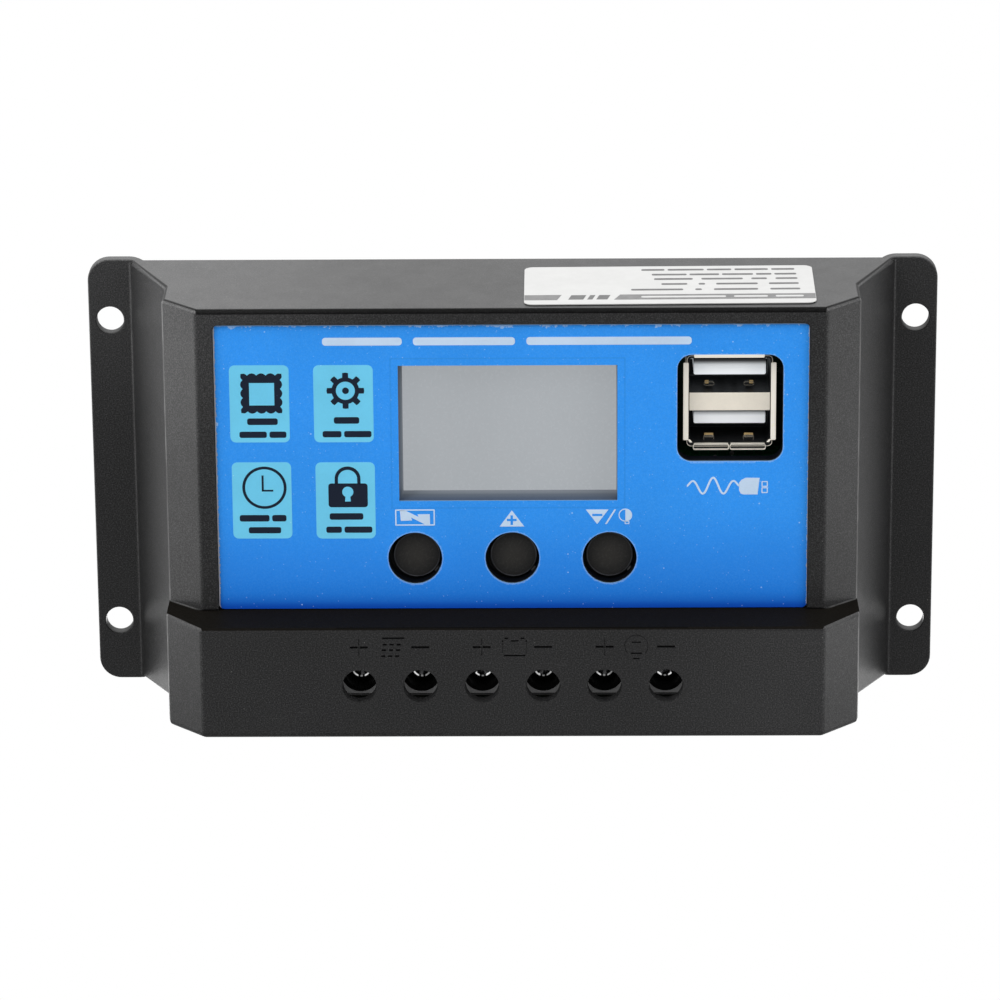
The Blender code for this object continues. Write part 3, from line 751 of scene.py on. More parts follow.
# painted reflection: the USB steel, lips and feet glow for the room mirrored in their plating;
# the top lip glows most, against the shade of the opening above it
M_USB = plain_material("usb_plated_steel", (0.86, 0.80, 0.69), 0.36,
                       glow=(0.085, 0.080, 0.070), brushed=(0.6, 4.0, 6.0), **LIP)
M_LIP = plain_material("usb_lip_steel", LIP_RGB, 0.34, glow=(0.26, 0.245, 0.215), **LIP)
M_LIP_TOP = plain_material("usb_top_lip_steel", LIP_RGB, 0.34, glow=(0.58, 0.55, 0.48), **LIP)
M_FOOT = plain_material("usb_foot_steel", (0.80, 0.76, 0.67), 0.36, metal=0.2, mottle=0.1,
                        mottle_scale=0.8, glow=(0.06, 0.056, 0.05), **METAL)
# painted shade: the spring tabs get a darker steel for the shade inside the ports
M_SPRING = plain_material("spring_steel", (0.30, 0.28, 0.24), 0.26, metal=0.8, mottle=0.2,
                          mottle_scale=0.6, **METAL)
# painted shade: near-black steel for the inner skins, back walls and tab strips, in place of the
# shade inside the ports
M_USB_DARK = plain_material("usb_inner_steel", (0.012, 0.013, 0.015), 0.45, metal=0.3,
                            mottle=0.2, mottle_scale=0.5, **METAL)
# painted reflection: the gilt tab ends glow as well
M_TAB_GILT = plain_material("tab_gilt", (0.42, 0.30, 0.13), 0.34, metal=0.4, mottle=0.25,
                            mottle_scale=1.2, glow=(0.10, 0.068, 0.030), **METAL)
M_TONGUE = tongue_material()
M_GOLD = plain_material("contact_gold", (0.62, 0.47, 0.24), 0.32, metal=1.0, mottle=0.15,
                        **METAL)
M_STEEL = plain_material("zinc_steel", (0.66, 0.67, 0.68), 0.24, metal=1.0, mottle=0.10,
                         mottle_scale=0.4, grain=6.0, bump_depth=0.01)
M_SCREW = screw_material()
M_BLACKSTEEL = plain_material("blackened_steel", (0.09, 0.09, 0.092), 0.34, metal=0.9,
                              mottle=0.2, mottle_scale=0.4, grain=6.0, bump=0.3,
                              bump_depth=0.01)
M_TERM = terminal_material()
M_BRASS = plain_material("cage_brass", (0.62, 0.47, 0.22), 0.32, metal=1.0,
                         mottle_scale=0.5, grain=5.0, bump_depth=0.01,
                         brushed=(5.0, 0.5, 5.0))
M_TIN = plain_material("bar_tin", (0.70, 0.70, 0.68), 0.30, metal=1.0, mottle=0.1, **METAL)
M_ALU = plain_material("plate_aluminium", (0.70, 0.71, 0.72), 0.36, metal=1.0, mottle=0.06,
                       bump=0.3, bump_depth=0.01, brushed=(0.4, 6.0, 6.0))
M_EPOXY = plain_material("chip_epoxy_moulding", (0.028, 0.028, 0.03), 0.52, mottle=0.15,
                         grain=6.0, bump=0.3, bump_depth=0.015)
M_SLEEVE = plain_material("capacitor_sleeve_film", (0.02, 0.024, 0.07), 0.30, mottle=0.1,
                          grain=3.0, bump=0.12, bump_depth=0.01)
M_FERRITE = plain_material("ferrite_sinter", (0.05, 0.05, 0.052), 0.62, mottle=0.2,
                           grain=5.0, bump=0.4)
M_COPPER = plain_material("enamelled_copper", (0.62, 0.27, 0.12), 0.30, metal=1.0, **METAL)
M_FRAME = plain_material("light_frame_plastic", (0.72, 0.72, 0.69), 0.48, mottle=0.04,
                         bump=0.2, bump_depth=0.01)
M_PCB = board_material()


# ============================================================ outlines
def rect(left, right, low, high):
    return [(left, low), (right, low), (right, high), (left, high)]


def round_rect(left, right, low, high, radius, steps):
    outline = []
    for x, h, start in ((right - radius, high - radius, 0), (left + radius, high - radius, 90),
                        (left + radius, low + radius, 180), (right - radius, low + radius, 270)):
        for i in range(steps + 1):
            angle = math.radians(start + 90.0 * i / steps)
            outline.append((x + radius * math.cos(angle), h + radius * math.sin(angle)))
    return outline


def arc(x, h, radius, steps, start, end):
    """Points from start to end, in degrees, both included."""
    angles = [math.radians(start + (end - start) * i / steps) for i in range(steps + 1)]
    return [(x + radius * math.cos(a), h + radius * math.sin(a)) for a in angles]


def circle(x, h, radius, steps):
    return arc(x, h, radius, steps, 0.0, 360.0)[:-1]


def mirrored(points):
    """The points, then their mirror images across x = 0 in reverse."""
    return points + [(-x, other) for x, other in reversed(points)]


def usb_outline(extra=0.0):
    return round_rect(USB_X - USB_W / 2 - extra, USB_X + USB_W / 2 + extra,
                      USB_H - USB_TALL / 2 - extra, USB_H + USB_TALL / 2 + extra,
                      USB_CORNER_R, 8)


# ============================================================ mesh tools
class Shape:
    """A mesh being built in drawing millimetres; slot is a material slot.

    Outlines are lists of (x, h); back and front are depths.
    """

    def __init__(self):
        self.mesh = bmesh.new()

    def loop(self, points):
        return [self.mesh.verts.new(point(*place)) for place in points]

    def level(self, outline, depth):
        return self.loop([(x, h, depth) for x, h in outline])

    def face(self, verts, slot=0):
        self.mesh.faces.new(verts).material_index = slot

    def close(self, first, last, slot=0):
        """Cap two loops of vertices and wall them together."""
        self.face(first, slot)
        self.face(list(reversed(last)), slot)
        for i in range(len(first)):
            j = (i + 1) % len(first)
            self.face([first[i], last[i], last[j], first[j]], slot)
        return self

    def extrude(self, outline, back, front, slot=0):
        return self.close(self.level(outline, back), self.level(outline, front), slot)

    def box(self, left, right, low, high, back, front, slot=0):
        return self.extrude(rect(left, right, low, high), back, front, slot)

    def prism(self, section, low, high):
        """Section of (x, d) points; low and high give the end heights by depth."""
        return self.close(self.loop([(x, low(d), d) for x, d in section]),
                          self.loop([(x, high(d), d) for x, d in section]))

    def ring(self, outer, inner, back, front, slot=0):
        """Extruded ring between two outlines with the same number of points."""
        outer_back, outer_front, inner_back, inner_front = [
            self.level(outline, depth) for outline in (outer, inner) for depth in (back, front)]
        for i in range(len(outer)):
            j = (i + 1) % len(outer)
            self.face([outer_front[i], outer_front[j], inner_front[j], inner_front[i]], slot)
            self.face([outer_back[j], outer_back[i], inner_back[i], inner_back[j]], slot)
            self.face([outer_back[i], outer_back[j], outer_front[j], outer_front[i]], slot)
            self.face([inner_back[j], inner_back[i], inner_front[i], inner_front[j]], slot)

    def lathe(self, x, h, profile, segments):
        """Turned piece about the depth axis; profile is [(radius, depth), ...]."""
        rings = []
        for radius, depth in profile:
            if radius < 1e-6:
                rings.append(self.loop([(x, h, depth)]))
                continue
            angles = [2 * math.pi * i / segments for i in range(segments)]
            rings.append(self.loop([(x + radius * math.cos(a), h + radius * math.sin(a), depth)
                                    for a in angles]))
        for first, second in zip(rings, rings[1:]):
            for i in range(segments):
                j = (i + 1) % segments
                if len(first) == 1:
                    self.face([first[0], second[i], second[j]])
                elif len(second) == 1:
                    self.face([first[i], second[0], first[j]])
                else:
                    self.face([first[i], second[i], second[j], first[j]])
        return self

    def rod(self, x, h, back, front, radius, segments=48):
        return self.lathe(x, h, [(0, back), (radius, back), (radius, front), (0, front)],
                          segments)

    def build(self, name="scratch", *materials):
        """Make the object; without materials it is a scratch piece."""
        bmesh.ops.recalc_face_normals(self.mesh, faces=self.mesh.faces[:])
        data = bpy.data.meshes.new(name)
        self.mesh.to_mesh(data)
        self.mesh.free()
        part = bpy.data.objects.new(name, data)
        (LOOK if materials else SCRATCH).objects.link(part)
        for material in materials:
            data.materials.append(material)
        return part


def apply_modifiers(part):
    graph = bpy.context.evaluated_depsgraph_get()
    graph.update()
    data = bpy.data.meshes.new_from_object(part.evaluated_get(graph))
    part.modifiers.clear()
    old = part.data
    part.data = data
    bpy.data.meshes.remove(old)


def boolean(part, other, operation):
    """Combine with a Shape or an object, which is used up."""
    if isinstance(other, Shape):
        other = other.build()
    modifier = part.modifiers.new("b", 'BOOLEAN')
    modifier.operation = operation
    modifier.solver = 'EXACT'
    modifier.object = other
    apply_modifiers(part)
    bpy.data.objects.remove(other, do_unlink=True)


def cut(part, other):
    boolean(part, other, 'DIFFERENCE')


def join(part, other):
    boolean(part, other, 'UNION')


def tidy(part):
    mesh = bmesh.new()
    mesh.from_mesh(part.data)
    bmesh.ops.remove_doubles(mesh, verts=mesh.verts[:], dist=2e-6)
    bmesh.ops.dissolve_degenerate(mesh, dist=1e-6, edges=mesh.edges[:])
    bmesh.ops.recalc_face_normals(mesh, faces=mesh.faces[:])
    mesh.to_mesh(part.data)
    mesh.free()


def smooth(part, angle, weighted=True):
    for polygon in part.data.polygons:
        polygon.use_smooth = True
    part.data.set_sharp_from_angle(angle=math.radians(angle))
    if weighted:
        modifier = part.modifiers.new("wn", 'WEIGHTED_NORMAL')
        modifier.keep_sharp = True
        modifier.weight = 100


def soft_edges(part, width, segments=2, angle=35):
    modifier = part.modifiers.new("bev", 'BEVEL')
    modifier.width = width * MM
    modifier.segments = segments
    modifier.limit_method = 'ANGLE'
    modifier.angle_limit = math.radians(angle)
    modifier.use_clamp_overlap = True


def round_by_rule(part, rule, widest, segments):
    """Bevel each edge by its own radius, rule(start, end, angle) -> mm."""
    tidy(part)
    mesh = bmesh.new()
    mesh.from_mesh(part.data)
    weights = mesh.edges.layers.float
    layer = weights.get("bevel_weight_edge") or weights.new("bevel_weight_edge")
    for edge in mesh.edges:
        if len(edge.link_faces) != 2:
            continue
        angle = edge.calc_face_angle(0.0)
        if angle < math.radians(8):
            continue
        start, end = [(v.co.x / MM, v.co.z / MM, -v.co.y / MM) for v in edge.verts]
        edge[layer] = min(1.0, rule(start, end, math.degrees(angle)) / widest)
    mesh.to_mesh(part.data)
    mesh.free()
    modifier = part.modifiers.new("bw", 'BEVEL')
    modifier.width = widest * MM
    modifier.segments = segments
    modifier.limit_method = 'WEIGHT'
    modifier.use_clamp_overlap = False
    modifier.miter_outer = 'MITER_SHARP'
    apply_modifiers(part)
    # close the small gaps left where bevels of unequal width meet
    mesh = bmesh.new()
    mesh.from_mesh(part.data)
    bmesh.ops.remove_doubles(mesh, verts=mesh.verts[:], dist=2e-6)
    open_edges = [edge for edge in mesh.edges if len(edge.link_faces) == 1]
    if open_edges:
        bmesh.ops.holes_fill(mesh, edges=open_edges, sides=8)
    bmesh.ops.recalc_face_normals(mesh, faces=mesh.faces[:])
    mesh.to_mesh(part.data)
    mesh.free()


def install(part, body, slot, *replaced):
    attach(part, body)
    if replaced:
        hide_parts(*replaced)


# ============================================================ housing
def notched_wing():
    """Wall plate with a shallow notch, rounded at both ends, in its top and bottom."""
    notch_x, notch_h = 56.3, 33.4
    centre_x = notch_x + NOTCH_R
    centre_h = HALF_H - NOTCH_R
    wing = Shape().extrude(round_rect(-WIDTH / 2, WIDTH / 2, -HALF_H, HALF_H, WING_R, 10),
                           0.0, WING_T).build()
    corner = []
    for k in range(13):
        angle = math.radians(90.0 - 7.5 * k)
        corner.append((-centre_x + NOTCH_R * math.cos(angle),
                       centre_h + NOTCH_R * math.sin(angle)))
    corner = [place for place in corner if place[1] > notch_h + 0.05]
    corner.append((-centre_x + math.sqrt(NOTCH_R ** 2 - (notch_h - centre_h) ** 2), notch_h))
    top = mirrored([(-centre_x, HALF_H + 1.0)] + corner)
    bottom = [(x, -h) for x, h in reversed(top)]
    for outline in (top, bottom):
        cut(wing, Shape().extrude(outline, -1.0, WING_T + 1.0))
    tidy(wing)
    soft_edges(wing, 0.26, 3, 40)
    apply_modifiers(wing)
    return wing


def near(value, target, tolerance=0.06):
    return abs(value - target) < tolerance


# Long edges of the body: depth, distance from the middle, radius
LONG_EDGES = (
    (RIDGE_D, SIDE_X, 0.32),
    (BLOCK_RIDGE_D, SIDE_X, 0.32),
    (FRONT_D, FRONT_X, 0.45),
    (BLOCK_D, BLOCK_X, 0.45),
    (FLANK_D, SIDE_X, 0.75),
)


def on_end_face(h, d):
    return d > 1.9 and (near(h, end_height(d, DRAFT), 0.05)
                        or near(h, -end_height(d, DRAFT_LO), 0.05))


def edge_radius(start, end, angle):
    """Radius for one edge of the body, from its (x, h, d) end points."""
    ends = (start, end)
    foremost = max(d for _, _, d in ends)
    if all(on_end_face(h, d) for _, h, d in ends):
        if foremost <= 2.2:
            return 0.3
        return 0.75 if start[1] > 0 or foremost < 15.5 else 1.0
    for depth, side, radius in LONG_EDGES:
        if all(near(d, depth) and near(abs(x), side) for x, _, d in ends):
            return radius
    # outline of the step face
    on_step = all(near(h, STEP_H) for _, h, _ in ends)
    if on_step and min(d for _, _, d in ends) >= 27.9 and angle > 30:
        return 0.75
    return 0.0


def housing_solid():
    """Upper body and terminal block, each rounded alone, joined on the step plane."""
    back = 2.0
    back_x = FOLD_X + (WING_T - back) * (FOLD_X - SIDE_X) / (FLANK_D - WING_T)
    flank = [(-back_x, back), (-SIDE_X, FLANK_D)]
    upper = mirrored(flank + [(-SIDE_X, RIDGE_D), (-FRONT_X, FRONT_D)])
    lower = mirrored(flank + [(-SIDE_X, BLOCK_RIDGE_D), (-BLOCK_X, BLOCK_D)])
    body = Shape().prism(upper, lambda d: STEP_H, lambda d: END_H - (d - WING_T) * DRAFT)
    body = body.build("front_housing_look", M_HOUSING)
    round_by_rule(body, edge_radius, widest=1.0, segments=3)
    block = Shape().prism(lower, lambda d: -(END_H - (d - WING_T) * DRAFT_LO),
                          lambda d: STEP_H).build()
    round_by_rule(block, edge_radius, widest=1.0, segments=4)
    join(body, block)
    join(body, notched_wing())
    return body


def add_root_fillets(body):
    """Small fillet where each flank meets its wing."""
    radius = 0.6
    slope = math.atan2(FLANK_D - WING_T, SIDE_X - FOLD_X)
    centre_x = FOLD_X + radius / math.tan(slope / 2)
    centre_d = WING_T + radius
    curve = []
    for k in range(5):
        angle = math.radians(270) - (math.pi - slope) * k / 4.0
        curve.append((centre_x + radius * math.cos(angle), centre_d + radius * math.sin(angle)))
    section = [(FOLD_X - 0.8, 2.1), (centre_x, 2.1)] + curve
    section.append((curve[-1][0] - 0.5, curve[-1][1]))
    for side in (-1, 1):
        join(body, Shape().prism([(side * x, d) for x, d in section],
                                 lambda d: -34.45, lambda d: 34.45))


def hollow_out(body):
    """Cavity, then the bosses, posts and window collar that stand in it."""
    flank = [(-56.4, 3.9), (-51.6, 13.6)]
    upper = mirrored(flank + [(-51.6, 20.4), (-47.4, 23.2)])
    lower = mirrored(flank + [(-51.6, 27.3), (-47.1, 32.9)])

    def ceiling(d):
        return end_height(d, DRAFT, END_H - 2.2)

    cavity = Shape().prism(upper, lambda d: -ceiling(d), ceiling).build()
    join(cavity, Shape().prism(lower, lambda d: -ceiling(d), lambda d: STEP_H - 2.0))
    join(cavity, Shape().box(-56.4, 56.4, -32.0, 32.0, 1.9, 4.4))
    join(cavity, Shape().extrude(round_rect(-55.5, 55.5, -32.0, 32.0, 1.5, 5), -1.0, 2.3))
    cut(body, cavity)
    for side, end in CORNERS:
        join(body, Shape().rod(side * BOSS_X, end * BOSS_H, 4.5, 24.4 if end > 0 else 33.4,
                               3.2, 32))
    for x, h in ((-BOSS_X, 10.0), (BOSS_X, 10.0), (-BOSS_X, -9.0), (BOSS_X, -9.0)):
        join(body, Shape().rod(x, h, 10.9, 24.4, 2.7, 28))
    join(body, Shape().box(LCD_X0 - 1.6, LCD_X1 + 1.6, LCD_H0 - 1.6, LCD_H1 + 1.6,
                           GLASS_D + 0.3, 24.0))


def cut_label_pocket(body):
    """Recess for the label, open to the step below and rounded at the top corners."""
    half, top, radius = LABEL_FILM_X + 0.10, LABEL_HI + 0.22, 0.9
    outline = [(-half, STEP_H), (half, STEP_H)]
    outline += arc(half - radius, top - radius, radius, 6, 0, 90)
    outline += arc(-half + radius, top - radius, radius, 6, 90, 180)
    cut(body, Shape().extrude(outline, POCKET_D, 27.6))


def cut_screw_holes(body):
    """Wall-screw holes with softened rims, and the blind holes in the bosses."""
    radius = HOLE_R
    profile = [(0, -0.4), (radius + 0.5, -0.4), (radius + 0.12, -0.05), (radius, 0.2),
               (radius, WING_T - 0.24), (radius + 0.05, WING_T - 0.09),
               (radius + 0.24, WING_T + 0.06), (radius + 0.6, WING_T + 0.5),
               (0, WING_T + 0.5)]
    for side, end in CORNERS:
        cut(body, Shape().lathe(side * HOLE_X, end * HOLE_H, profile, 64))
        cut(body, Shape().rod(side * BOSS_X, end * BOSS_H, 3.0, 13.5, 1.55, 20))


def cut_front_openings(body):
    """Tapered display window, button holes and the USB opening."""
    window = Shape()
    rings = [window.level(rect(LCD_X0 + inset, LCD_X1 - inset, LCD_H0 + inset, LCD_H1 - inset),
                          depth)
             for depth, inset in ((20.0, 0.15), (27.0, -0.42))]
    cut(body, window.close(*rings))
    for x in BUTTON_X:
        cut(body, Shape().rod(x, BUTTON_H, 20.0, 28.0, BUTTON_HOLE_R, 72))
    cut(body, Shape().extrude(usb_outline(), 20.0, 28.0))


def cut_terminal_openings(body):
    """Screwdriver holes in the block's face and wire openings in its lower end."""
    access = [(0, 31.0), (ACCESS_R, 31.0), (ACCESS_R, 34.86), (ACCESS_R + 0.06, 34.97),
              (ACCESS_R + 0.12, 36.0), (0, 36.0)]
    for x in TERM_X:
        cut(body, Shape().lathe(x, TERM_H, access, 64))
        wire = Shape().box(x - 3.6, x + 3.6, -37.0, -28.0, 12.7, 19.9).build()
        soft_edges(wire, 0.8, 3)
        apply_modifiers(wire)
        cut(body, wire)


# Engraved strokes: left, right, low, high, how much shallower than the deepest
MINUS_STROKES = ((-1.38, 1.38, -18.43, -18.07, 0.0),)
PLUS_STROKES = (
    (-1.38, -0.17, -18.43, -18.07, 0.0),
    (0.17, 1.38, -18.43, -18.07, 0.0),
    (-0.12, 0.12, -18.41, -18.09, 0.12),
    (-0.10, 0.10, -19.62, -18.60, 0.12),
    (-0.10, 0.10, -17.90, -16.88, 0.12),
)
BATTERY_STROKES = (
    (-1.20, -0.62, -16.96, -16.70, 0.0),
    (1.28, 1.86, -16.96, -16.70, 0.0),
    (-0.22, 0.98, -17.38, -17.14, 0.0),
    (-1.62, -1.40, -17.42, -17.14, 0.0),
    (2.02, 2.24, -17.42, -17.14, 0.0),
    (-1.30, 1.98, -19.78, -19.53, 0.0),
    (-1.60, -1.50, -19.30, -17.60, 0.14),
    (2.12, 2.22, -19.30, -17.60, 0.14),
)
LAMP_STROKES = (
    (18.40, 19.76, -17.62, -17.40, 0.0),
    (18.26, 19.94, -19.44, -19.20, 0.0),
    (18.60, 19.56, -20.28, -20.06, 0.0),
)


def engrave_marks(body):
    """Symbols over the access holes, all in one cutter."""
    floor_d, clear_d = 34.74, 35.6
    marks = Shape()

    def strokes(table, x=0.0):
        for left, right, low, high, shallower in table:
            marks.box(x + left, x + right, low, high, floor_d + shallower, clear_d)

    for k, x in enumerate(TERM_X):
        strokes(MINUS_STROKES if k % 2 else PLUS_STROKES, x)
    # panel: slanted bar over three leaning rows of cells
    marks.extrude([(-20.05, -16.90), (-16.65, -16.90), (-16.62, -16.63), (-20.02, -16.63)],
                  floor_d, clear_d)
    for h in (-17.80, -18.70, -19.68):
        for column in range(3):
            x = -19.52 + column * 1.08 + -0.42 * (-16.7 - h) / 3.2
            marks.box(x - 0.32, x + 0.32, h - 0.15, h + 0.15, floor_d, clear_d)
    strokes(BATTERY_STROKES)
    bulb = [arc(19.08, -18.15, radius, 24, -40, 220) for radius in (1.86, 1.74)]
    marks.extrude(bulb[0] + list(reversed(bulb[1])), floor_d + 0.12, clear_d)
    strokes(LAMP_STROKES)
    cut(body, marks)


housing = housing_solid()
add_root_fillets(housing)
hollow_out(housing)
cut_label_pocket(housing)
cut_screw_holes(housing)
cut_front_openings(housing)
cut_terminal_openings(housing)
engrave_marks(housing)
tidy(housing)
smooth(housing, 30)
install(housing, "controller", "housing", "front_housing")


# ============================================================ front label
# Depths of the print: one layer on the film, a second over the first
INK_FACE = LABEL_FRONT_D + 0.022
TOP_INK_FACE = LABEL_FRONT_D + 0.034
INK = (LABEL_FRONT_D + 0.004, INK_FACE)
TOP_INK = (INK_FACE - 0.006, TOP_INK_FACE)

TILES = ((-38.68, 18.24), (-25.78, 18.22), (-38.59, 2.68), (-25.69, 2.64))   # x, h of centre

# Bars in place of the tiles' words: centre x, h, bar widths, bar height
CAPTIONS = (
    (-38.27, 15.40, (4.7,), 1.05),
    (-38.24, 13.30, (4.2, 2.6), 1.0),
    (-25.34, 15.56, (3.9,), 1.05),
    (-25.30, 13.35, (2.9, 4.2), 1.0),
    (-38.50, -0.20, (4.6, 2.2), 1.05),
    (-38.25, -2.15, (5.0,), 1.0),
    (-25.60, 0.05, (5.2,), 1.05),
    (-25.20, -2.10, (2.4, 4.3), 1.0),
)


def label_film():
    film = Shape().extrude(
        round_rect(-LABEL_FILM_X, LABEL_FILM_X, LABEL_LO, LABEL_HI, 0.75, 6),
        LABEL_BACK_D, LABEL_FRONT_D).build("face_label_look", M_LABEL)
    cut(film, Shape().box(LCD_X0, LCD_X1, LCD_H0, LCD_H1, 24.0, 28.0))
    for x in BUTTON_X:
        cut(film, Shape().rod(x, BUTTON_H, 24.0, 28.0, BUTTON_HOLE_R + 0.03, 72))
    cut(film, Shape().extrude(usb_outline(0.03), 24.0, 28.0))
    tidy(film)
    install(film, "controller", "label", "face_label")


def label_tiles():
    shape = Shape()
    for x, h in TILES:
        shape.extrude(round_rect(x - 4.58, x + 4.58, h - 6.18, h + 6.18, 0.85, 5), *INK)
    install(shape.build("label_tiles", M_TILE), "controller", "label")


def square_path(x, h, half_x, half_h, wave=lambda along: 0.0):
    """Square of 24 points a side, each moved outwards by wave(-1..1 along the side)."""
    outline = []
    for side in range(4):
        for i in range(24):
            along = -1.0 + 2.0 * i / 24
            out = wave(along)
            across, up = (
                (along * half_x, half_h + out),
                (half_x + out, -along * half_h),
                (-along * half_x, -half_h - out),
                (-half_x - out, along * half_h),
            )[side]
            if i == 0:
                across = math.copysign(half_x + out * 0.75, across)
                up = math.copysign(half_h + out * 0.75, up)
            outline.append((x + across, h + up))
    return outline


def draw_chip(shape):
    """Square ring with a scalloped edge."""
    x, h = -38.35, 19.92
    outer = square_path(x, h, 2.86, 2.86,
                        lambda along: 0.36 * abs(math.cos(2.0 * math.pi * along)) ** 0.8)
    shape.ring(outer, square_path(x + 0.05, h - 0.12, 1.93, 1.80), *TOP_INK)


def draw_gear(shape):
    x, h = -25.45, 20.31
    # one tooth: degrees from its middle, radius
    tooth = ((-22.5, 2.13), (-12.5, 2.13), (-9.0, 2.86), (0.0, 2.90), (9.0, 2.86),
             (12.5, 2.13))
    outer, inner = [], []
    for i in range(8):
        for offset, radius in tooth:
            angle = math.radians(i * 45.0 + offset + 90)
            outer.append((x + radius * math.cos(angle), h + radius * math.sin(angle)))
            inner.append((x + 1.46 * math.cos(angle), h + 1.46 * math.sin(angle)))
    shape.ring(outer, inner, *TOP_INK)
    shape.extrude(circle(x + 0.02, h, 0.52, 28), *TOP_INK)


def draw_clock(shape):
    x, h = -38.19, 4.75
    shape.ring(circle(x, h, 3.42, 72), circle(x, h, 2.98, 72), *TOP_INK)
    shape.box(x - 0.42, x - 0.10, h - 0.58, h + 1.98, *TOP_INK)
    shape.box(x - 0.42, x + 1.36, h - 0.62, h - 0.34, *TOP_INK)


LOCK_X = -25.34


def draw_padlock(shape):
    shape.extrude(round_rect(-28.33, -22.27, 1.55, 5.40, 0.45, 4), *TOP_INK)
    outer = [(-23.35, 5.3)] + arc(LOCK_X, 6.15, 1.99, 28, 0, 180) + [(-27.33, 5.3)]
    inner = [(-26.83, 5.3)] + arc(LOCK_X, 6.12, 1.48, 28, 180, 0) + [(-23.85, 5.3)]
    shape.extrude(outer + inner, *TOP_INK)


def draw_captions(shape):
    gap = 0.42
    for centre, h, widths, height in CAPTIONS:
        x = centre - (sum(widths) + gap * (len(widths) - 1)) / 2
        for width in widths:
            shape.extrude(round_rect(x, x + width, h - height / 2, h + height / 2,
                                     height * 0.30, 3), *TOP_INK)
            x += width + gap


def label_pictograms():
    shape = Shape()
    for draw in (draw_chip, draw_gear, draw_clock, draw_padlock, draw_captions):
        draw(shape)
    install(shape.build("label_pictograms", M_DARK), "controller", "label")


def label_keyhole():
    """Keyhole in the tile colour, over the padlock."""
    back = TOP_INK_FACE - 0.002
    shape = Shape()
    shape.extrude(circle(LOCK_X, 4.02, 0.86, 32), back, TOP_INK_FACE + 0.012)
    shape.extrude([(-25.78, 2.48), (-24.90, 2.48), (-24.98, 3.5), (-25.70, 3.5)],
                  back, TOP_INK_FACE + 0.011)
    install(shape.build("label_keyhole", M_TILE), "controller", "label")


def draw_outline(shape, left, right, low, high, radius, width):
    inner = round_rect(left + width, right - width, low + width, high - width,
                       max(0.02, radius - width), 4)
    shape.ring(round_rect(left, right, low, high, radius, 4), inner, *INK)


def draw_lead(shape):
    """Wavy lead and plug under the socket."""
    start, run, base, swing, turns = 26.95, 8.1, 4.78, 1.35, 2.5
    half_width, steps = 0.15, 60
    upper, lower = [], []
    for i in range(steps + 1):
        along = i / float(steps)
        x = start + run * along
        fade = math.sin(math.pi * along) ** 0.45 if 0 < along < 1 else 0.0
        h = base + swing * fade * math.sin(2 * math.pi * turns * along)
        slope = swing * fade * math.cos(2 * math.pi * turns * along) * 2 * math.pi * turns / run
        offset = half_width / math.sqrt(1 + slope * slope)
        upper.append((x - slope * offset, h + offset))
        lower.append((x + slope * offset, h - offset))
    for i in range(steps):
        shape.extrude([lower[i], lower[i + 1], upper[i + 1], upper[i]], *INK)
    shape.extrude([(35.0, 4.10), (35.25, 3.55), (35.7, 3.40), (37.85, 3.40), (38.16, 6.08),
                   (36.0, 6.10), (35.35, 5.75), (35.0, 5.3)], *INK)
    for low, high in ((3.62, 4.55), (4.62, 5.55)):
        draw_outline(shape, 38.45, 39.42, low, high, 0.12, 0.16)


def label_symbols():
    """Light symbols: title bars, button marks, lead and plug."""
    back, front = INK
    shape = Shape()
    for left, right in ((-28.9, -16.7), (-15.0, 0.6), (2.35, 27.6)):
        shape.extrude(round_rect(left, right, 27.50, 28.75, 0.5, 5), *INK)
    # charge mark over the left button
    draw_outline(shape, -18.08, -11.95, -1.48, 1.15, 0.12, 0.20)
    shape.extrude([(-17.34, 1.0), (-16.59, 1.0), (-15.51, 0.46), (-15.63, -0.15),
                   (-15.47, -0.64), (-17.22, -0.71)], *INK)
    shape.extrude([(-15.53, 0.47), (-14.43, -0.09), (-13.47, -1.30), (-15.64, -0.15)],
                  back, front + 0.002)
    shape.extrude([(-14.63, 0.35), (-12.73, 0.38), (-12.69, -1.32), (-13.49, -1.32),
                   (-14.45, -0.10)], back, front + 0.001)
    # triangles up and down, then the slanted stroke and the lamp
    shape.extrude([(-1.95, -1.68), (1.86, -1.68), (-0.05, 0.94)], *INK)
    shape.extrude([(11.38, 1.04), (14.88, 1.04), (13.12, -1.32)], *INK)
    shape.extrude([(14.33, -1.32), (14.62, -1.32), (16.06, 1.05), (15.77, 1.05)], *INK)
    lamp_x, lamp_h = 17.48, 0.12
    shape.ring(circle(lamp_x, lamp_h, 1.05, 36), circle(lamp_x, lamp_h, 0.90, 36), *INK)
    shape.extrude(arc(lamp_x, lamp_h, 1.0, 18, -90, 90), back, front + 0.004)
    draw_outline(shape, 17.38, 18.10, -1.34, -0.84, 0.10, 0.13)
    draw_lead(shape)
    install(shape.build("label_symbols", M_LIGHT), "controller", "label")


def label_worn_line():
    """Thin broken line just below the socket opening."""
    shape = Shape()
    for left, right, low, high in ((27.5, 32.7, 8.46, 8.57), (33.1, 37.4, 8.48, 8.56)):
        radius = min(right - left, high - low) * 0.35
        shape.extrude(round_rect(left, right, low, high, radius, 3), *INK)
    install(shape.build("label_worn_line", M_WORN), "controller", "label")


def label_signs():
    """Plus and minus inside the triangles, in the label colour."""
    back = INK_FACE - 0.003
    shape = Shape()
    shape.box(-0.82, 0.68, -0.80, -0.42, back, TOP_INK_FACE)
    shape.box(-0.26, 0.12, -1.42, 0.14, back, TOP_INK_FACE + 0.001)
    shape.box(12.36, 13.92, -0.02, 0.34, back, TOP_INK_FACE)
    install(shape.build("label_sign_marks", M_LABEL), "controller", "label")


label_film()
label_tiles()
label_pictograms()
label_keyhole()
label_symbols()
label_worn_line()
label_signs()


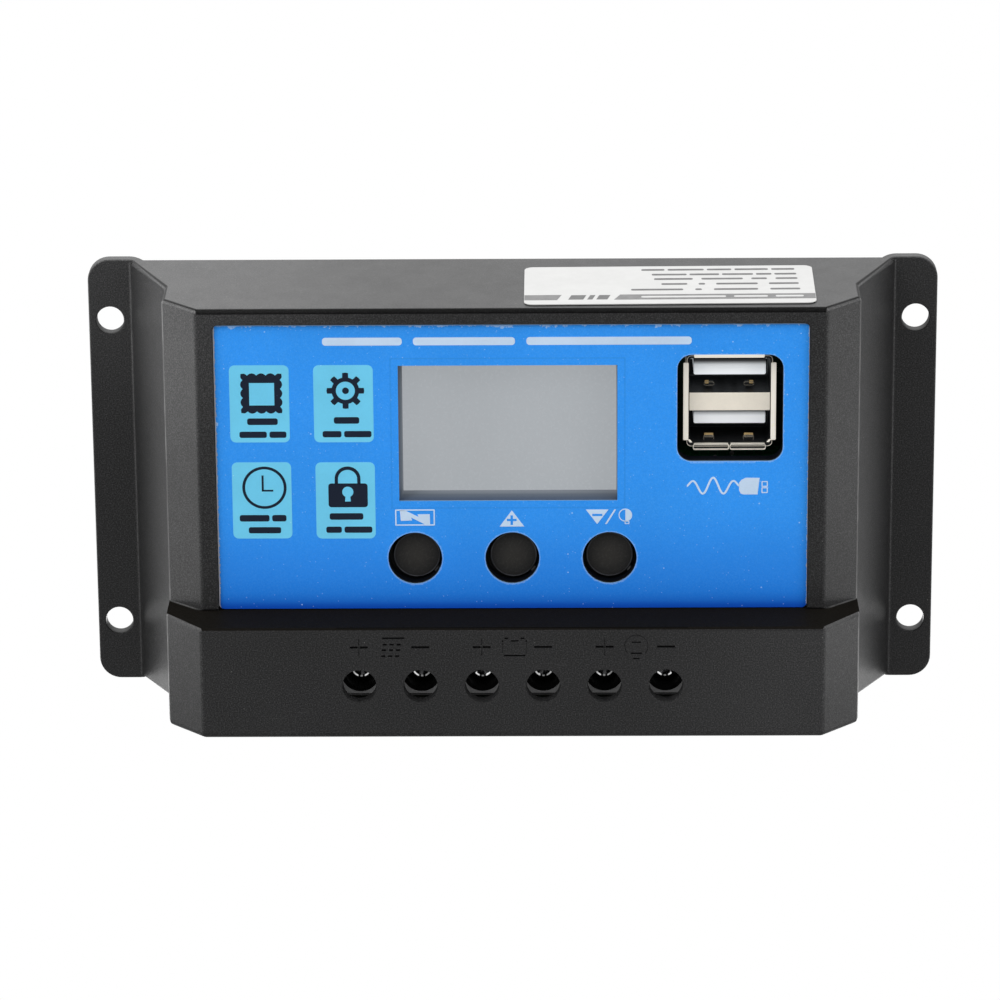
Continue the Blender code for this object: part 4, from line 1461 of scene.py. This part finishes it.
# ============================================================ rating sticker
# Printed rows: h, left, right, widths of the word bars from the right
STICKER_ROWS = (
    (7.7, -4.2, 19.6, (3.6, 5.2, 3.8, 5.6, 3.6)),
    (5.2, -2.6, 19.8, (3.4, 2.4, 4.8, 4.6, 5.4)),
    (2.9, -2.3, 19.9, (3.4, 2.4, 6.4, 6.0)),
    (0.3, -1.2, 20.0, (4.6, 6.4, 1.0, 4.0)),
    (-2.5, -5.9, 20.1, (4.6, 6.8, 1.0, 8.0)),
)


def rating_sticker():
    """Drawn flat as a plate, then laid on the top end face, its top to the back."""
    paper, grey, ink = 0, 1, 2
    ink_back, band_front, ink_front = 0.115, 0.132, 0.134
    shape = Shape()
    shape.extrude(round_rect(-22.35, 22.35, -9.6, 9.6, 1.4, 6), 0.0, 0.12, paper)
    # grey band along the front, split by a slanted gap
    shape.extrude([(-22.3, -4.9), (-16.6, -4.9), (-17.3, -7.5), (-22.3, -7.5)],
                  ink_back, band_front, grey)
    shape.extrude([(-7.6, -4.9), (22.3, -4.9), (22.3, -7.5), (-8.6, -7.5)],
                  ink_back, band_front, grey)
    for h, left, right, widths in STICKER_ROWS:
        gap = ((right - left) - sum(widths)) / (len(widths) - 1)
        x = right
        for width in widths:
            shape.extrude(round_rect(x - width, x, h - 0.42, h + 0.42, 0.25, 2),
                          ink_back, ink_front, ink)
            x -= width + gap
    for left, right in ((-15.6, -13.3), (-12.7, -11.9), (-11.3, -9.6)):
        shape.extrude([(left, -7.3), (right, -7.3), (right + 0.5, -5.1), (left + 0.5, -5.1)],
                      ink_back, ink_front, ink)
    # paper-coloured bars on the band
    for left, right in ((16.2, 20.5), (9.8, 15.0), (-4.4, 8.6)):
        shape.extrude(round_rect(left, right, -6.6, -5.8, 0.3, 2), 0.130, 0.146, paper)
    lean = math.atan(DRAFT)
    for vert in shape.mesh.verts:
        x, thickness, h = vert.co.x / MM, -vert.co.y / MM, vert.co.z / MM
        depth = 15.85 - 0.93 * h - 0.012 * x
        lift = 0.10 + thickness
        vert.co = point(24.35 + x, end_height(depth, DRAFT) + lift * math.cos(lean),
                        depth + lift * math.sin(lean))
    sticker = shape.build("rating_sticker_look", M_STICKER, M_STRIP, M_INK)
    install(sticker, "controller", "sticker", "rating_sticker")


rating_sticker()


# ============================================================ display
def display_glass():
    glass = Shape().extrude(round_rect(-19.4, 18.4, 0.4, 25.9, 0.3, 3),
                            GLASS_D - 1.7, GLASS_D - 0.02)
    install(glass.build("display_glass_look", M_LCD), "controller", "lcd_glass", "lcd_glass")


def display_liner():
    """Four tapered walls from the label's cut edge back to the glass."""
    front, back = LABEL_BACK_D - 0.04, GLASS_D + 0.02
    shape = Shape()
    inner_front = shape.level(rect(LCD_X0, LCD_X1, LCD_H0, LCD_H1), front)
    inner_back = shape.level(rect(LCD_X0 + 0.53, LCD_X1 - 0.10, LCD_H0 + 0.42, LCD_H1 - 0.08),
                             back)
    outer_front = shape.level(rect(LCD_X0 - 0.25, LCD_X1 + 0.25, LCD_H0 - 0.25, LCD_H1 + 0.25),
                              front)
    outer_back = shape.level(rect(LCD_X0 - 0.02, LCD_X1 + 0.02, LCD_H0 - 0.02, LCD_H1 + 0.02),
                             back)
    for i in range(4):
        j = (i + 1) % 4
        shape.face([inner_front[i], inner_front[j], inner_back[j], inner_back[i]])
        shape.face([outer_front[j], outer_front[i], outer_back[i], outer_back[j]])
        shape.face([inner_front[j], inner_front[i], outer_front[i], outer_front[j]])
        shape.face([inner_back[i], inner_back[j], outer_back[j], outer_back[i]])
    install(shape.build("display_window_liner", M_LINER), "controller", "lcd_glass")


display_glass()
display_liner()


# ============================================================ buttons
def button_cap(name, x):
    """Domed cap with a rounded rim, a flange, a stem and one rib on its wall."""
    profile = [(0, CAP_D + 0.16), (0.9, CAP_D + 0.15), (1.8, CAP_D + 0.115),
               (2.6, CAP_D + 0.05), (3.2, CAP_D - 0.05)]
    rim = 0.27
    for degrees in range(15, 91, 15):
        angle = math.radians(degrees)
        profile.append((CAP_R - rim + rim * math.sin(angle),
                        CAP_D - 0.36 + rim * math.cos(angle)))
    profile += [(CAP_R, 22.65), (CAP_R + 0.15, 22.5), (4.65, 22.5), (4.8, 22.35), (4.8, 21.3),
                (4.7, 21.2), (2.2, 21.2), (2.2, 17.1), (2.1, 17.0), (0, 17.0)]
    shape = Shape().lathe(x, BUTTON_H, profile, 72)
    angle = math.radians(-38)
    cos, sin = math.cos(angle), math.sin(angle)
    inner, outer, half_width = CAP_R - 0.1, CAP_R + 0.30, 0.42
    rib = [(x + radius * cos - aside * sin, BUTTON_H + radius * sin + aside * cos)
           for radius, aside in ((inner, half_width), (inner, -half_width),
                                 (outer, -half_width), (outer, half_width))]
    shape.extrude(rib, 22.4, CAP_D - 0.30)
    cap = shape.build("button_cap_%s_look" % name, M_CAP)
    smooth(cap, 40, weighted=False)
    install(cap, "button_" + name, "button", "button_cap_" + name)


for name, x in zip(("left", "middle", "right"), CAP_X):
    button_cap(name, x)


# ============================================================ USB socket
SHELL_LOW, SHELL_HIGH = 10.25, 24.85
SHELL_HALF_W = 6.6

# Ports: name, low, high, tongue's drop from the top, rise and height of the sprung tabs
PORTS = (
    ("upper", 18.95, 24.55, 2.86, 0.42, 0.82),
    ("lower", 10.55, 16.1, 2.24, -0.14, 1.30),
)


def usb_shell():
    """Outer tube, inner skins dark with painted shade, and the flared lips round the mouth."""
    steel, dark, lip, foot, top_lip = range(5)
    shape = Shape()

    def tube(half_width, low, high, radius, wall, back, front, slot):
        left, right = USB_X - half_width, USB_X + half_width
        inner = round_rect(left + wall, right - wall, low + wall, high - wall,
                           max(0.05, radius - wall), 5)
        shape.ring(round_rect(left, right, low, high, radius, 5), inner, back, front, slot)

    tube(SHELL_HALF_W, SHELL_LOW, SHELL_HIGH, 0.7, 0.28, 12.0, USB_D - 0.35, dark)
    tube(SHELL_HALF_W, SHELL_LOW + 0.01, SHELL_HIGH - 0.01, 0.7, 0.10, 12.0, USB_D - 0.30,
         steel)
    tube(6.31, 18.92, SHELL_HIGH - 0.29, 0.45, 0.10, 12.2, USB_D - 0.18, dark)
    tube(6.31, SHELL_LOW + 0.29, 16.18, 0.45, 0.10, 12.2, USB_D - 0.18, dark)
    for side in (-1, 1):
        left, right = sorted((USB_X + side * 6.34, USB_X + side * 7.14))
        shape.extrude(round_rect(left, right, 11.35, 23.75, 0.16, 4), USB_D - 0.30, USB_D, lip)
        # small bent ear at the foot of the side
        outer, inner = USB_X + side * 6.42, USB_X + side * 5.85
        ear = [(outer, 11.40), (outer - side * 0.30, 11.40),
               (inner - side * 0.12, 10.95), (inner + side * 0.28, 10.95)]
        if side < 0:
            ear = ear[:1] + ear[:0:-1]
        shape.extrude(ear, USB_D - 0.42, USB_D - 0.12, lip)
    shape.extrude(round_rect(USB_X - 5.48, USB_X + 5.30, SHELL_HIGH - 0.28, SHELL_HIGH + 0.40,
                             0.12, 4), USB_D - 0.30, USB_D, top_lip)
    # two rolled feet along the bottom
    for side in (-1, 1):
        left, right = sorted((USB_X + side * 0.05, USB_X + side * 5.62))
        low, high = SHELL_LOW, SHELL_LOW
        shape.ring(round_rect(left, right, low - 0.50, high + 0.44, 0.30, 5),
                   round_rect(left + 0.11, right - 0.11, low - 0.39, high + 0.33, 0.20, 5),
                   USB_D - 0.9, USB_D - 0.05, foot)
        shape.extrude(round_rect(left + 0.10, right - 0.10, low - 0.40, high + 0.34, 0.2, 4),
                      USB_D - 0.85, USB_D - 0.55, dark)
    shell = shape.build("usb_shell_look", M_USB, M_USB_DARK, M_LIP, M_FOOT, M_LIP_TOP)
    soft_edges(shell, 0.05, 2, 50)
    install(shell, "controller", "usb_steel", "usb_shell")


def usb_web():
    """Folded sheet with a flat front between the ports."""
    web = Shape().extrude(round_rect(USB_X - 6.20, USB_X + 6.20, 16.12, 18.96, 0.12, 3),
                          USB_D - 0.45, USB_D - 0.02).build("usb_web_look", M_USB)
    soft_edges(web, 0.08, 2)
    install(web, "controller", "usb_steel")


def usb_tabs(name, port_low, low, height):
    """Two sprung tabs: upright strip, bright frame, gilt end, and a leg to the wall."""
    spring, dark, gilt = range(3)
    shape = Shape()
    for offset in (-3.12, 3.02):
        x = USB_X + offset
        shape.extrude(round_rect(x - 0.72, x + 0.72, low + 0.05, low + height - 0.05, 0.24, 4),
                      20.35, 20.6, dark)
        shape.ring(round_rect(x - 0.84, x + 0.84, low, low + height * 0.80, 0.36, 5),
                   round_rect(x - 0.72, x + 0.72, low + 0.13, low + height * 0.80 - 0.10,
                              0.26, 5), 20.5, 20.78, spring)
        if name == "upper":
            side = -1 if offset < 0 else 1
            left, right = sorted((x + side * 0.06, x + side * 0.66))
            shape.extrude(round_rect(left, right, low + height * 0.42, low + height, 0.08, 3),
                          20.5, 20.72, gilt)
        else:
            shape.extrude(round_rect(x - 0.70, x + 0.70, low + height * 0.72, low + height,
                                     0.08, 3), 20.5, 20.74, gilt)
            shape.extrude(round_rect(x - 0.66, x + 0.66, low + height * 0.48,
                                     low + height * 0.66, 0.05, 3), 20.5, 20.76, spring)
        shape.box(x - 0.5, x + 0.5, port_low - 0.10, low + 0.20, 19.0, 20.5, dark)
    tabs = shape.build("usb_spring_tabs_%s" % name, M_SPRING, M_USB_DARK, M_TAB_GILT)
    install(tabs, "controller", "usb_steel")


def usb_port(name, low, high, tongue_drop, tab_rise, tab_height):
    foot = high - tongue_drop
    shape = Shape()
    shape.extrude(round_rect(USB_X - 6.05, USB_X + 6.05, low + 0.25, high - 0.25, 0.2, 3),
                  10.9, 13.4)
    shape.extrude(round_rect(USB_X - 5.55, USB_X + 5.55, foot, high - 0.32, 0.28, 5),
                  13.0, 22.62)
    tongue = shape.build("usb_tongue_%s_look" % name, M_TONGUE)
    soft_edges(tongue, 0.12, 3)
    install(tongue, "controller", "light_plastic", "usb_insulator_" + name)

    wall = Shape().extrude(round_rect(USB_X - 6.1, USB_X + 6.1, low + 0.15, foot - 0.05,
                                      0.2, 3), 13.6, 13.9)
    install(wall.build("usb_port_back_%s" % name, M_USB_DARK), "controller", "usb_steel")

    usb_tabs(name, low, low + tab_rise, tab_height)

    shape = Shape()
    for offset in (-3.5, -1.0, 1.0, 3.5):
        x = USB_X + offset
        shape.extrude(round_rect(x - 0.5, x + 0.5, foot - 0.08, foot + 0.04, 0.04, 2),
                      13.9, 21.6)
    install(shape.build("usb_contacts_%s" % name, M_GOLD), "controller", "brass")


usb_shell()
usb_web()
for port in PORTS:
    usb_port(*port)


# ============================================================ terminals
def terminal_block():
    block = Shape().box(-TERM_HALF_W, TERM_HALF_W, -27.7, -17.6, 10.9, 30.1)
    block = block.build("terminal_block_look", M_TERM)
    soft_edges(block, 0.35, 3)
    apply_modifiers(block)
    bore = [(0, 24.6), (2.35, 24.6), (2.35, 30.06), (2.36, 30.4), (0, 30.4)]
    # the mouth opens out towards the front
    mouth = [(0, 28.3), (2.2, 28.3), (2.98, 29.9), (3.02, 30.4), (0, 30.4)]
    for k, x in enumerate(TERM_X):
        cut(block, Shape().box(x - 3.35, x + 3.35, -29.0, -18.8, 13.2, 24.0))
        cut(block, Shape().lathe(x, TERM_H, bore, 56))
        cut(block, Shape().lathe(x, TERM_H + 0.42, mouth, 56))
        cut(block, Shape().rod(x, TERM_H, 23.0, 25.5, 1.7, 28))
        cut(block, Shape().box(x - 2.3, x + 2.3, -20.1, -18.9, 9.0, 14.0))
        if k:
            # grooves between neighbouring poles, below and in front
            left, right = x - PITCH / 2 - 0.25, x - PITCH / 2 + 0.25
            cut(block, Shape().box(left, right, -28.5, -27.3, 9.0, 31.0))
            cut(block, Shape().box(left, right, -28.5, -17.0, 29.7, 31.0))
    tidy(block)
    smooth(block, 30)
    install(block, "controller", "terminal_plastic", "terminal_block")


def terminal_screw(number, x, degrees):
    """Rounded head with a long and a short crossed slot, over a rolled thread."""
    profile = [(0, 26.5), (0.8, 26.47), (1.4, 26.38), (1.8, 26.15), (2.02, 25.8), (2.05, 25.6),
               (2.05, 24.95), (1.95, 24.8), (1.5, 24.8)]
    depth = 24.6
    while depth > 19.9:
        profile += [(1.5, depth), (1.36, depth - 0.2), (1.36, depth - 0.28),
                    (1.5, depth - 0.45)]
        depth -= 0.5
    profile += [(1.35, 19.5), (1.1, 19.4), (0, 19.4)]
    name = "terminal_screw_%d" % number
    screw = Shape().lathe(x, TERM_H, profile, 48).build(name + "_look", M_SCREW)
    turn = math.radians(degrees)
    half_width = 0.30
    for angle, half_length in ((turn, 2.6), (turn + math.pi / 2, 1.35)):
        cos, sin = math.cos(angle), math.sin(angle)
        slot = [(x + cos * a * half_length - sin * b * half_width,
                 TERM_H + sin * a * half_length + cos * b * half_width)
                for a, b in ((-1, -1), (1, -1), (1, 1), (-1, 1))]
        cut(screw, Shape().extrude(slot, 25.75, 27.5))
    tidy(screw)
    soft_edges(screw, 0.16, 3, 38)
    apply_modifiers(screw)
    smooth(screw, 60, weighted=False)
    install(screw, "screw_%d" % number, "steel", name)


terminal_block()
SCREW_TURNS = (12, -8, 30, -20, 4, -35)     # degrees
for k in range(POLES):
    terminal_screw(k + 1, TERM_X[k], SCREW_TURNS[k])


# ============================================================ carried-over CAD nodes
def numbered(name, count):
    return [name + str(k) for k in range(1, count + 1)]


SWITCHES = ("left", "middle", "right")

# CAD nodes, material, edge bevel in mm, bevel segments
DRESSED = (
    (["back_cover"], M_COVER, 0.25, 2),
    (["lcd_frame"], M_FRAME, 0.3, 2),
    (["lcd_pin_strip"], M_TIN, 0.15, 2),
    (["main_board"], M_PCB, 0.1, 1),
    (["heat_plate"], M_ALU, 0.2, 2),
    (numbered("clamp_cage_", POLES), M_BRASS, 0.15, 2),
    (numbered("contact_bar_", POLES), M_TIN, 0.12, 2),
    (numbered("cover_screw_", 4), M_BLACKSTEEL, 0.12, 2),
    (numbered("board_screw_", 4), M_STEEL, 0.12, 2),
    (["switch_body_" + place for place in SWITCHES], M_STEEL, 0.15, 2),
    (["switch_plunger_" + place for place in SWITCHES], M_CAP, 0.15, 2),
    (numbered("power_transistor_", 3), M_EPOXY, 0.2, 2),
    (["control_chip", "regulator_chip", "diode_1", "diode_2"], M_EPOXY, 0.15, 2),
    (["capacitor_1", "capacitor_2"], M_SLEEVE, 0.0, 0),
    (["inductor"], M_FERRITE, 0.2, 2),
)
for names, material, bevel, segments in DRESSED:
    for name in names:
        part = frame["nodes"][name]
        part.data.materials.clear()
        part.data.materials.append(material)
        if bevel:
            soft_edges(part, bevel, segments, 40)


# ============================================================ small board details
def board_leads():
    """Legs of the chips, diodes and power transistors."""
    shape = Shape()
    # chips: centre x, h, width, height, legs a side
    for chip_x, chip_h, width, height, legs in ((0.0, 13.0, 10.0, 10.0, 11),
                                                (33.5, 1.0, 5.0, 4.0, 4)):
        for side in (-1, 1):
            for i in range(legs):
                x = chip_x + (i - (legs - 1) / 2) * (width * 0.84 / (legs - 1))
                low, high = sorted((chip_h + side * (height / 2 + 0.02),
                                    chip_h + side * (height / 2 + 0.9)))
                shape.box(x - 0.17, x + 0.17, low, high, 10.65, 10.95)
    for diode_x in (28.0, 37.5):
        for side in (-1, 1):
            left, right = sorted((diode_x + side * 3.52, diode_x + side * 4.1))
            shape.box(left, right, -7.75 - 1.5, -7.75 + 1.5, 10.65, 11.6)
    for transistor_x in (-24.0, 0.0, 24.0):
        for offset in (-2.54, 0.0, 2.54):
            left, right = transistor_x + offset - 0.4, transistor_x + offset + 0.4
            shape.box(left, right, -13.6, -9.05, 6.2, 6.8)
            shape.box(left, right, -13.6, -13.0, 6.2, 8.95)
    leads = shape.build("board_leads", M_TIN)
    soft_edges(leads, 0.05, 1)
    install(leads, "controller", "tinned_metal")


def inductor_winding():
    """Seven stacked rings of round wire."""
    coil_r, wire_r, coil_steps, wire_steps = 2.95, 0.24, 48, 8
    shape = Shape()
    for turn in range(7):
        depth = 12.45 + turn * 0.46
        rings = []
        for i in range(coil_steps):
            around = 2 * math.pi * i / coil_steps
            section = []
            for k in range(wire_steps):
                angle = 2 * math.pi * k / wire_steps
                radius = coil_r + wire_r * math.cos(angle)
                section.append((-34.0 + radius * math.cos(around),
                                -6.0 + radius * math.sin(around),
                                depth + wire_r * math.sin(angle)))
            rings.append(shape.loop(section))
        for i in range(coil_steps):
            this, following = rings[i], rings[(i + 1) % coil_steps]
            for k in range(wire_steps):
                after = (k + 1) % wire_steps
                shape.face([this[k], following[k], following[after], this[after]])
    winding = shape.build("inductor_winding", M_COPPER)
    smooth(winding, 60, weighted=False)
    install(winding, "controller", "brass")


def capacitor_tops():
    """Metal discs with a raised cross."""
    shape = Shape()
    x = -34.0
    for h, radius, top in ((19.0, 4.6, 22.66), (6.5, 3.6, 22.06)):
        shape.lathe(x, h, [(0, top - 0.12), (radius - 0.3, top - 0.12),
                           (radius - 0.1, top - 0.05), (radius, top - 0.2),
                           (radius, top - 0.4), (0, top - 0.4)], 48)
        arm = radius * 0.7
        shape.box(x - arm, x + arm, h - 0.12, h + 0.12, top - 0.13, top - 0.07)
        shape.box(x - 0.12, x + 0.12, h - arm, h + arm, top - 0.13, top - 0.06)
    install(shape.build("capacitor_tops", M_ALU), "controller", "aluminium")


board_leads()
inductor_winding()
capacitor_tops()

for scratch in list(SCRATCH.objects):
    bpy.data.objects.remove(scratch, do_unlink=True)
bpy.data.collections.remove(SCRATCH)


# ============================================================ studio
def white_to_camera(nodes, kind, output, level):
    """Plain white as seen by the camera; light of the given level for all else."""
    lit = nodes.add(kind)
    nodes.put(lit.inputs["Strength"], level)
    white = nodes.add(kind)
    nodes.fill(white, {"Color": (1, 1, 1), "Strength": 1.0})
    mix = nodes.add("MixShader")
    nodes.put(mix.inputs[0], nodes.source("LightPath", "Is Camera Ray"))
    nodes.put(mix.inputs[1], Signal(nodes, lit.outputs[0]))
    nodes.put(mix.inputs[2], Signal(nodes, white.outputs[0]))
    nodes.put(nodes.add(output).inputs["Surface"], Signal(nodes, mix.outputs[0]))


# Bright pools on the floor, in metres: centre x, y, radii in x and y, strength
FLOOR_POOLS = (
    (-0.32, -0.04, 0.20, 0.20, 2.9),
    (0.32, -0.04, 0.20, 0.20, 2.3),
    (0.0, 0.065, 0.19, 0.07, 5.0),
    (-0.34, 0.26, 0.16, 0.16, 0.5),
)


def floor_material():
    """Pale floor with brighter pools round the object."""
    material = bpy.data.materials.new("studio_floor_white")
    material.use_nodes = True
    material.node_tree.nodes.clear()
    nodes = Nodes(material.node_tree)
    x, y, _ = nodes.separate(nodes.source("NewGeometry", "Position"))
    glow = 0.34
    for centre_x, centre_y, radius_x, radius_y, strength in FLOOR_POOLS:
        distance = length((x - centre_x) / radius_x, (y - centre_y) / radius_y)
        glow = glow + nodes.ramp(distance, over=(0.25, 1.0), to=(strength, 0.0))
    white_to_camera(nodes, "Emission", "OutputMaterial", glow)
    return material


def studio_floor():
    half, level = 30.0, -0.062
    shape = Shape()
    corners = [shape.mesh.verts.new((side * half, end * half, level))
               for side, end in ((-1, -1), (1, -1), (1, 1), (-1, 1))]
    shape.face(corners)
    shape.build("studio_floor", floor_material())


def studio_world():
    """Room light: dim in front, bright to both sides, above and high behind."""
    world = bpy.data.worlds.new("studio")
    bpy.context.scene.world = world
    world.use_nodes = True
    world.node_tree.nodes.clear()
    nodes = Nodes(world.node_tree, math_inputs=2)
    x, y, z = nodes.separate(nodes.source("TexCoord", "Generated"))
    level = nodes.ramp(y, over=(-0.95, -0.30), to=(0.36, 0.80))
    level = level + nodes.ramp(x, over=(-0.55, -0.97), to=(0.0, 1.9))
    level = level + nodes.ramp(x, over=(0.55, 0.97), to=(0.0, 1.3))
    level = level + nodes.ramp(z, over=(0.20, 0.80), to=(0.0, 1.1))
    level = level + nodes.ramp(y, over=(0.45, 0.90)) * nodes.ramp(z, over=(0.02, 0.35))
    white_to_camera(nodes, "Background", "OutputWorld", level)


def area_light(name, location, watts):
    """Half-metre square light aimed at the origin."""
    light = bpy.data.lights.new(name, 'AREA')
    light.shape = 'RECTANGLE'
    light.size = 0.5
    light.size_y = 0.5
    light.energy = watts
    lamp = bpy.data.objects.new(name, light)
    bpy.context.scene.collection.objects.link(lamp)
    lamp.location = location
    lamp.rotation_mode = 'QUATERNION'
    lamp.rotation_quaternion = (-Vector(location)).to_track_quat('-Z', 'Y')
    lamp.visible_camera = False


def studio_camera():
    """Long lens, looking slightly down at the front."""
    pitch, yaw, roll = [math.radians(a) for a in (17.8155, -0.7595, 0.4229)]
    offset = Vector((2.1656, 5.4467, -808.209))    # origin seen from the camera, mm
    data = bpy.data.cameras.new("camera")
    data.sensor_width = 36.0
    data.lens = 182.6
    data.clip_start = 0.05
    data.clip_end = 60.0
    camera = bpy.data.objects.new("camera", data)
    bpy.context.scene.collection.objects.link(camera)
    # turn, then tilt, then roll (x right, y up, z towards the viewer)
    cos, sin = math.cos(yaw), math.sin(yaw)
    turned = Matrix(((cos, 0, sin), (0, 1, 0), (-sin, 0, cos)))
    cos, sin = math.cos(pitch), math.sin(pitch)
    tilted = Matrix(((1, 0, 0), (0, cos, -sin), (0, sin, cos)))
    cos, sin = math.cos(roll), math.sin(roll)
    rolled = Matrix(((cos, -sin, 0), (sin, cos, 0), (0, 0, 1)))
    to_camera = rolled @ tilted @ turned
    to_frame = Matrix(((1, 0, 0), (0, 0, -1), (0, 1, 0)))
    place = -(to_camera.transposed() @ offset) * MM
    camera.matrix_world = (Matrix.Translation(to_frame @ place)
                           @ (to_frame @ to_camera.transposed()).to_4x4())
    bpy.context.scene.camera = camera


studio_floor()
studio_world()
area_light("key_left", (-0.75, -0.75, 0.75), watts=5.0)
area_light("fill_right", (0.9, -0.55, 0.45), watts=2.2)
studio_camera()

view = bpy.context.scene.view_settings
view.view_transform = 'Standard'
view.look = 'None'
view.exposure = 0.0
view.gamma = 1.0
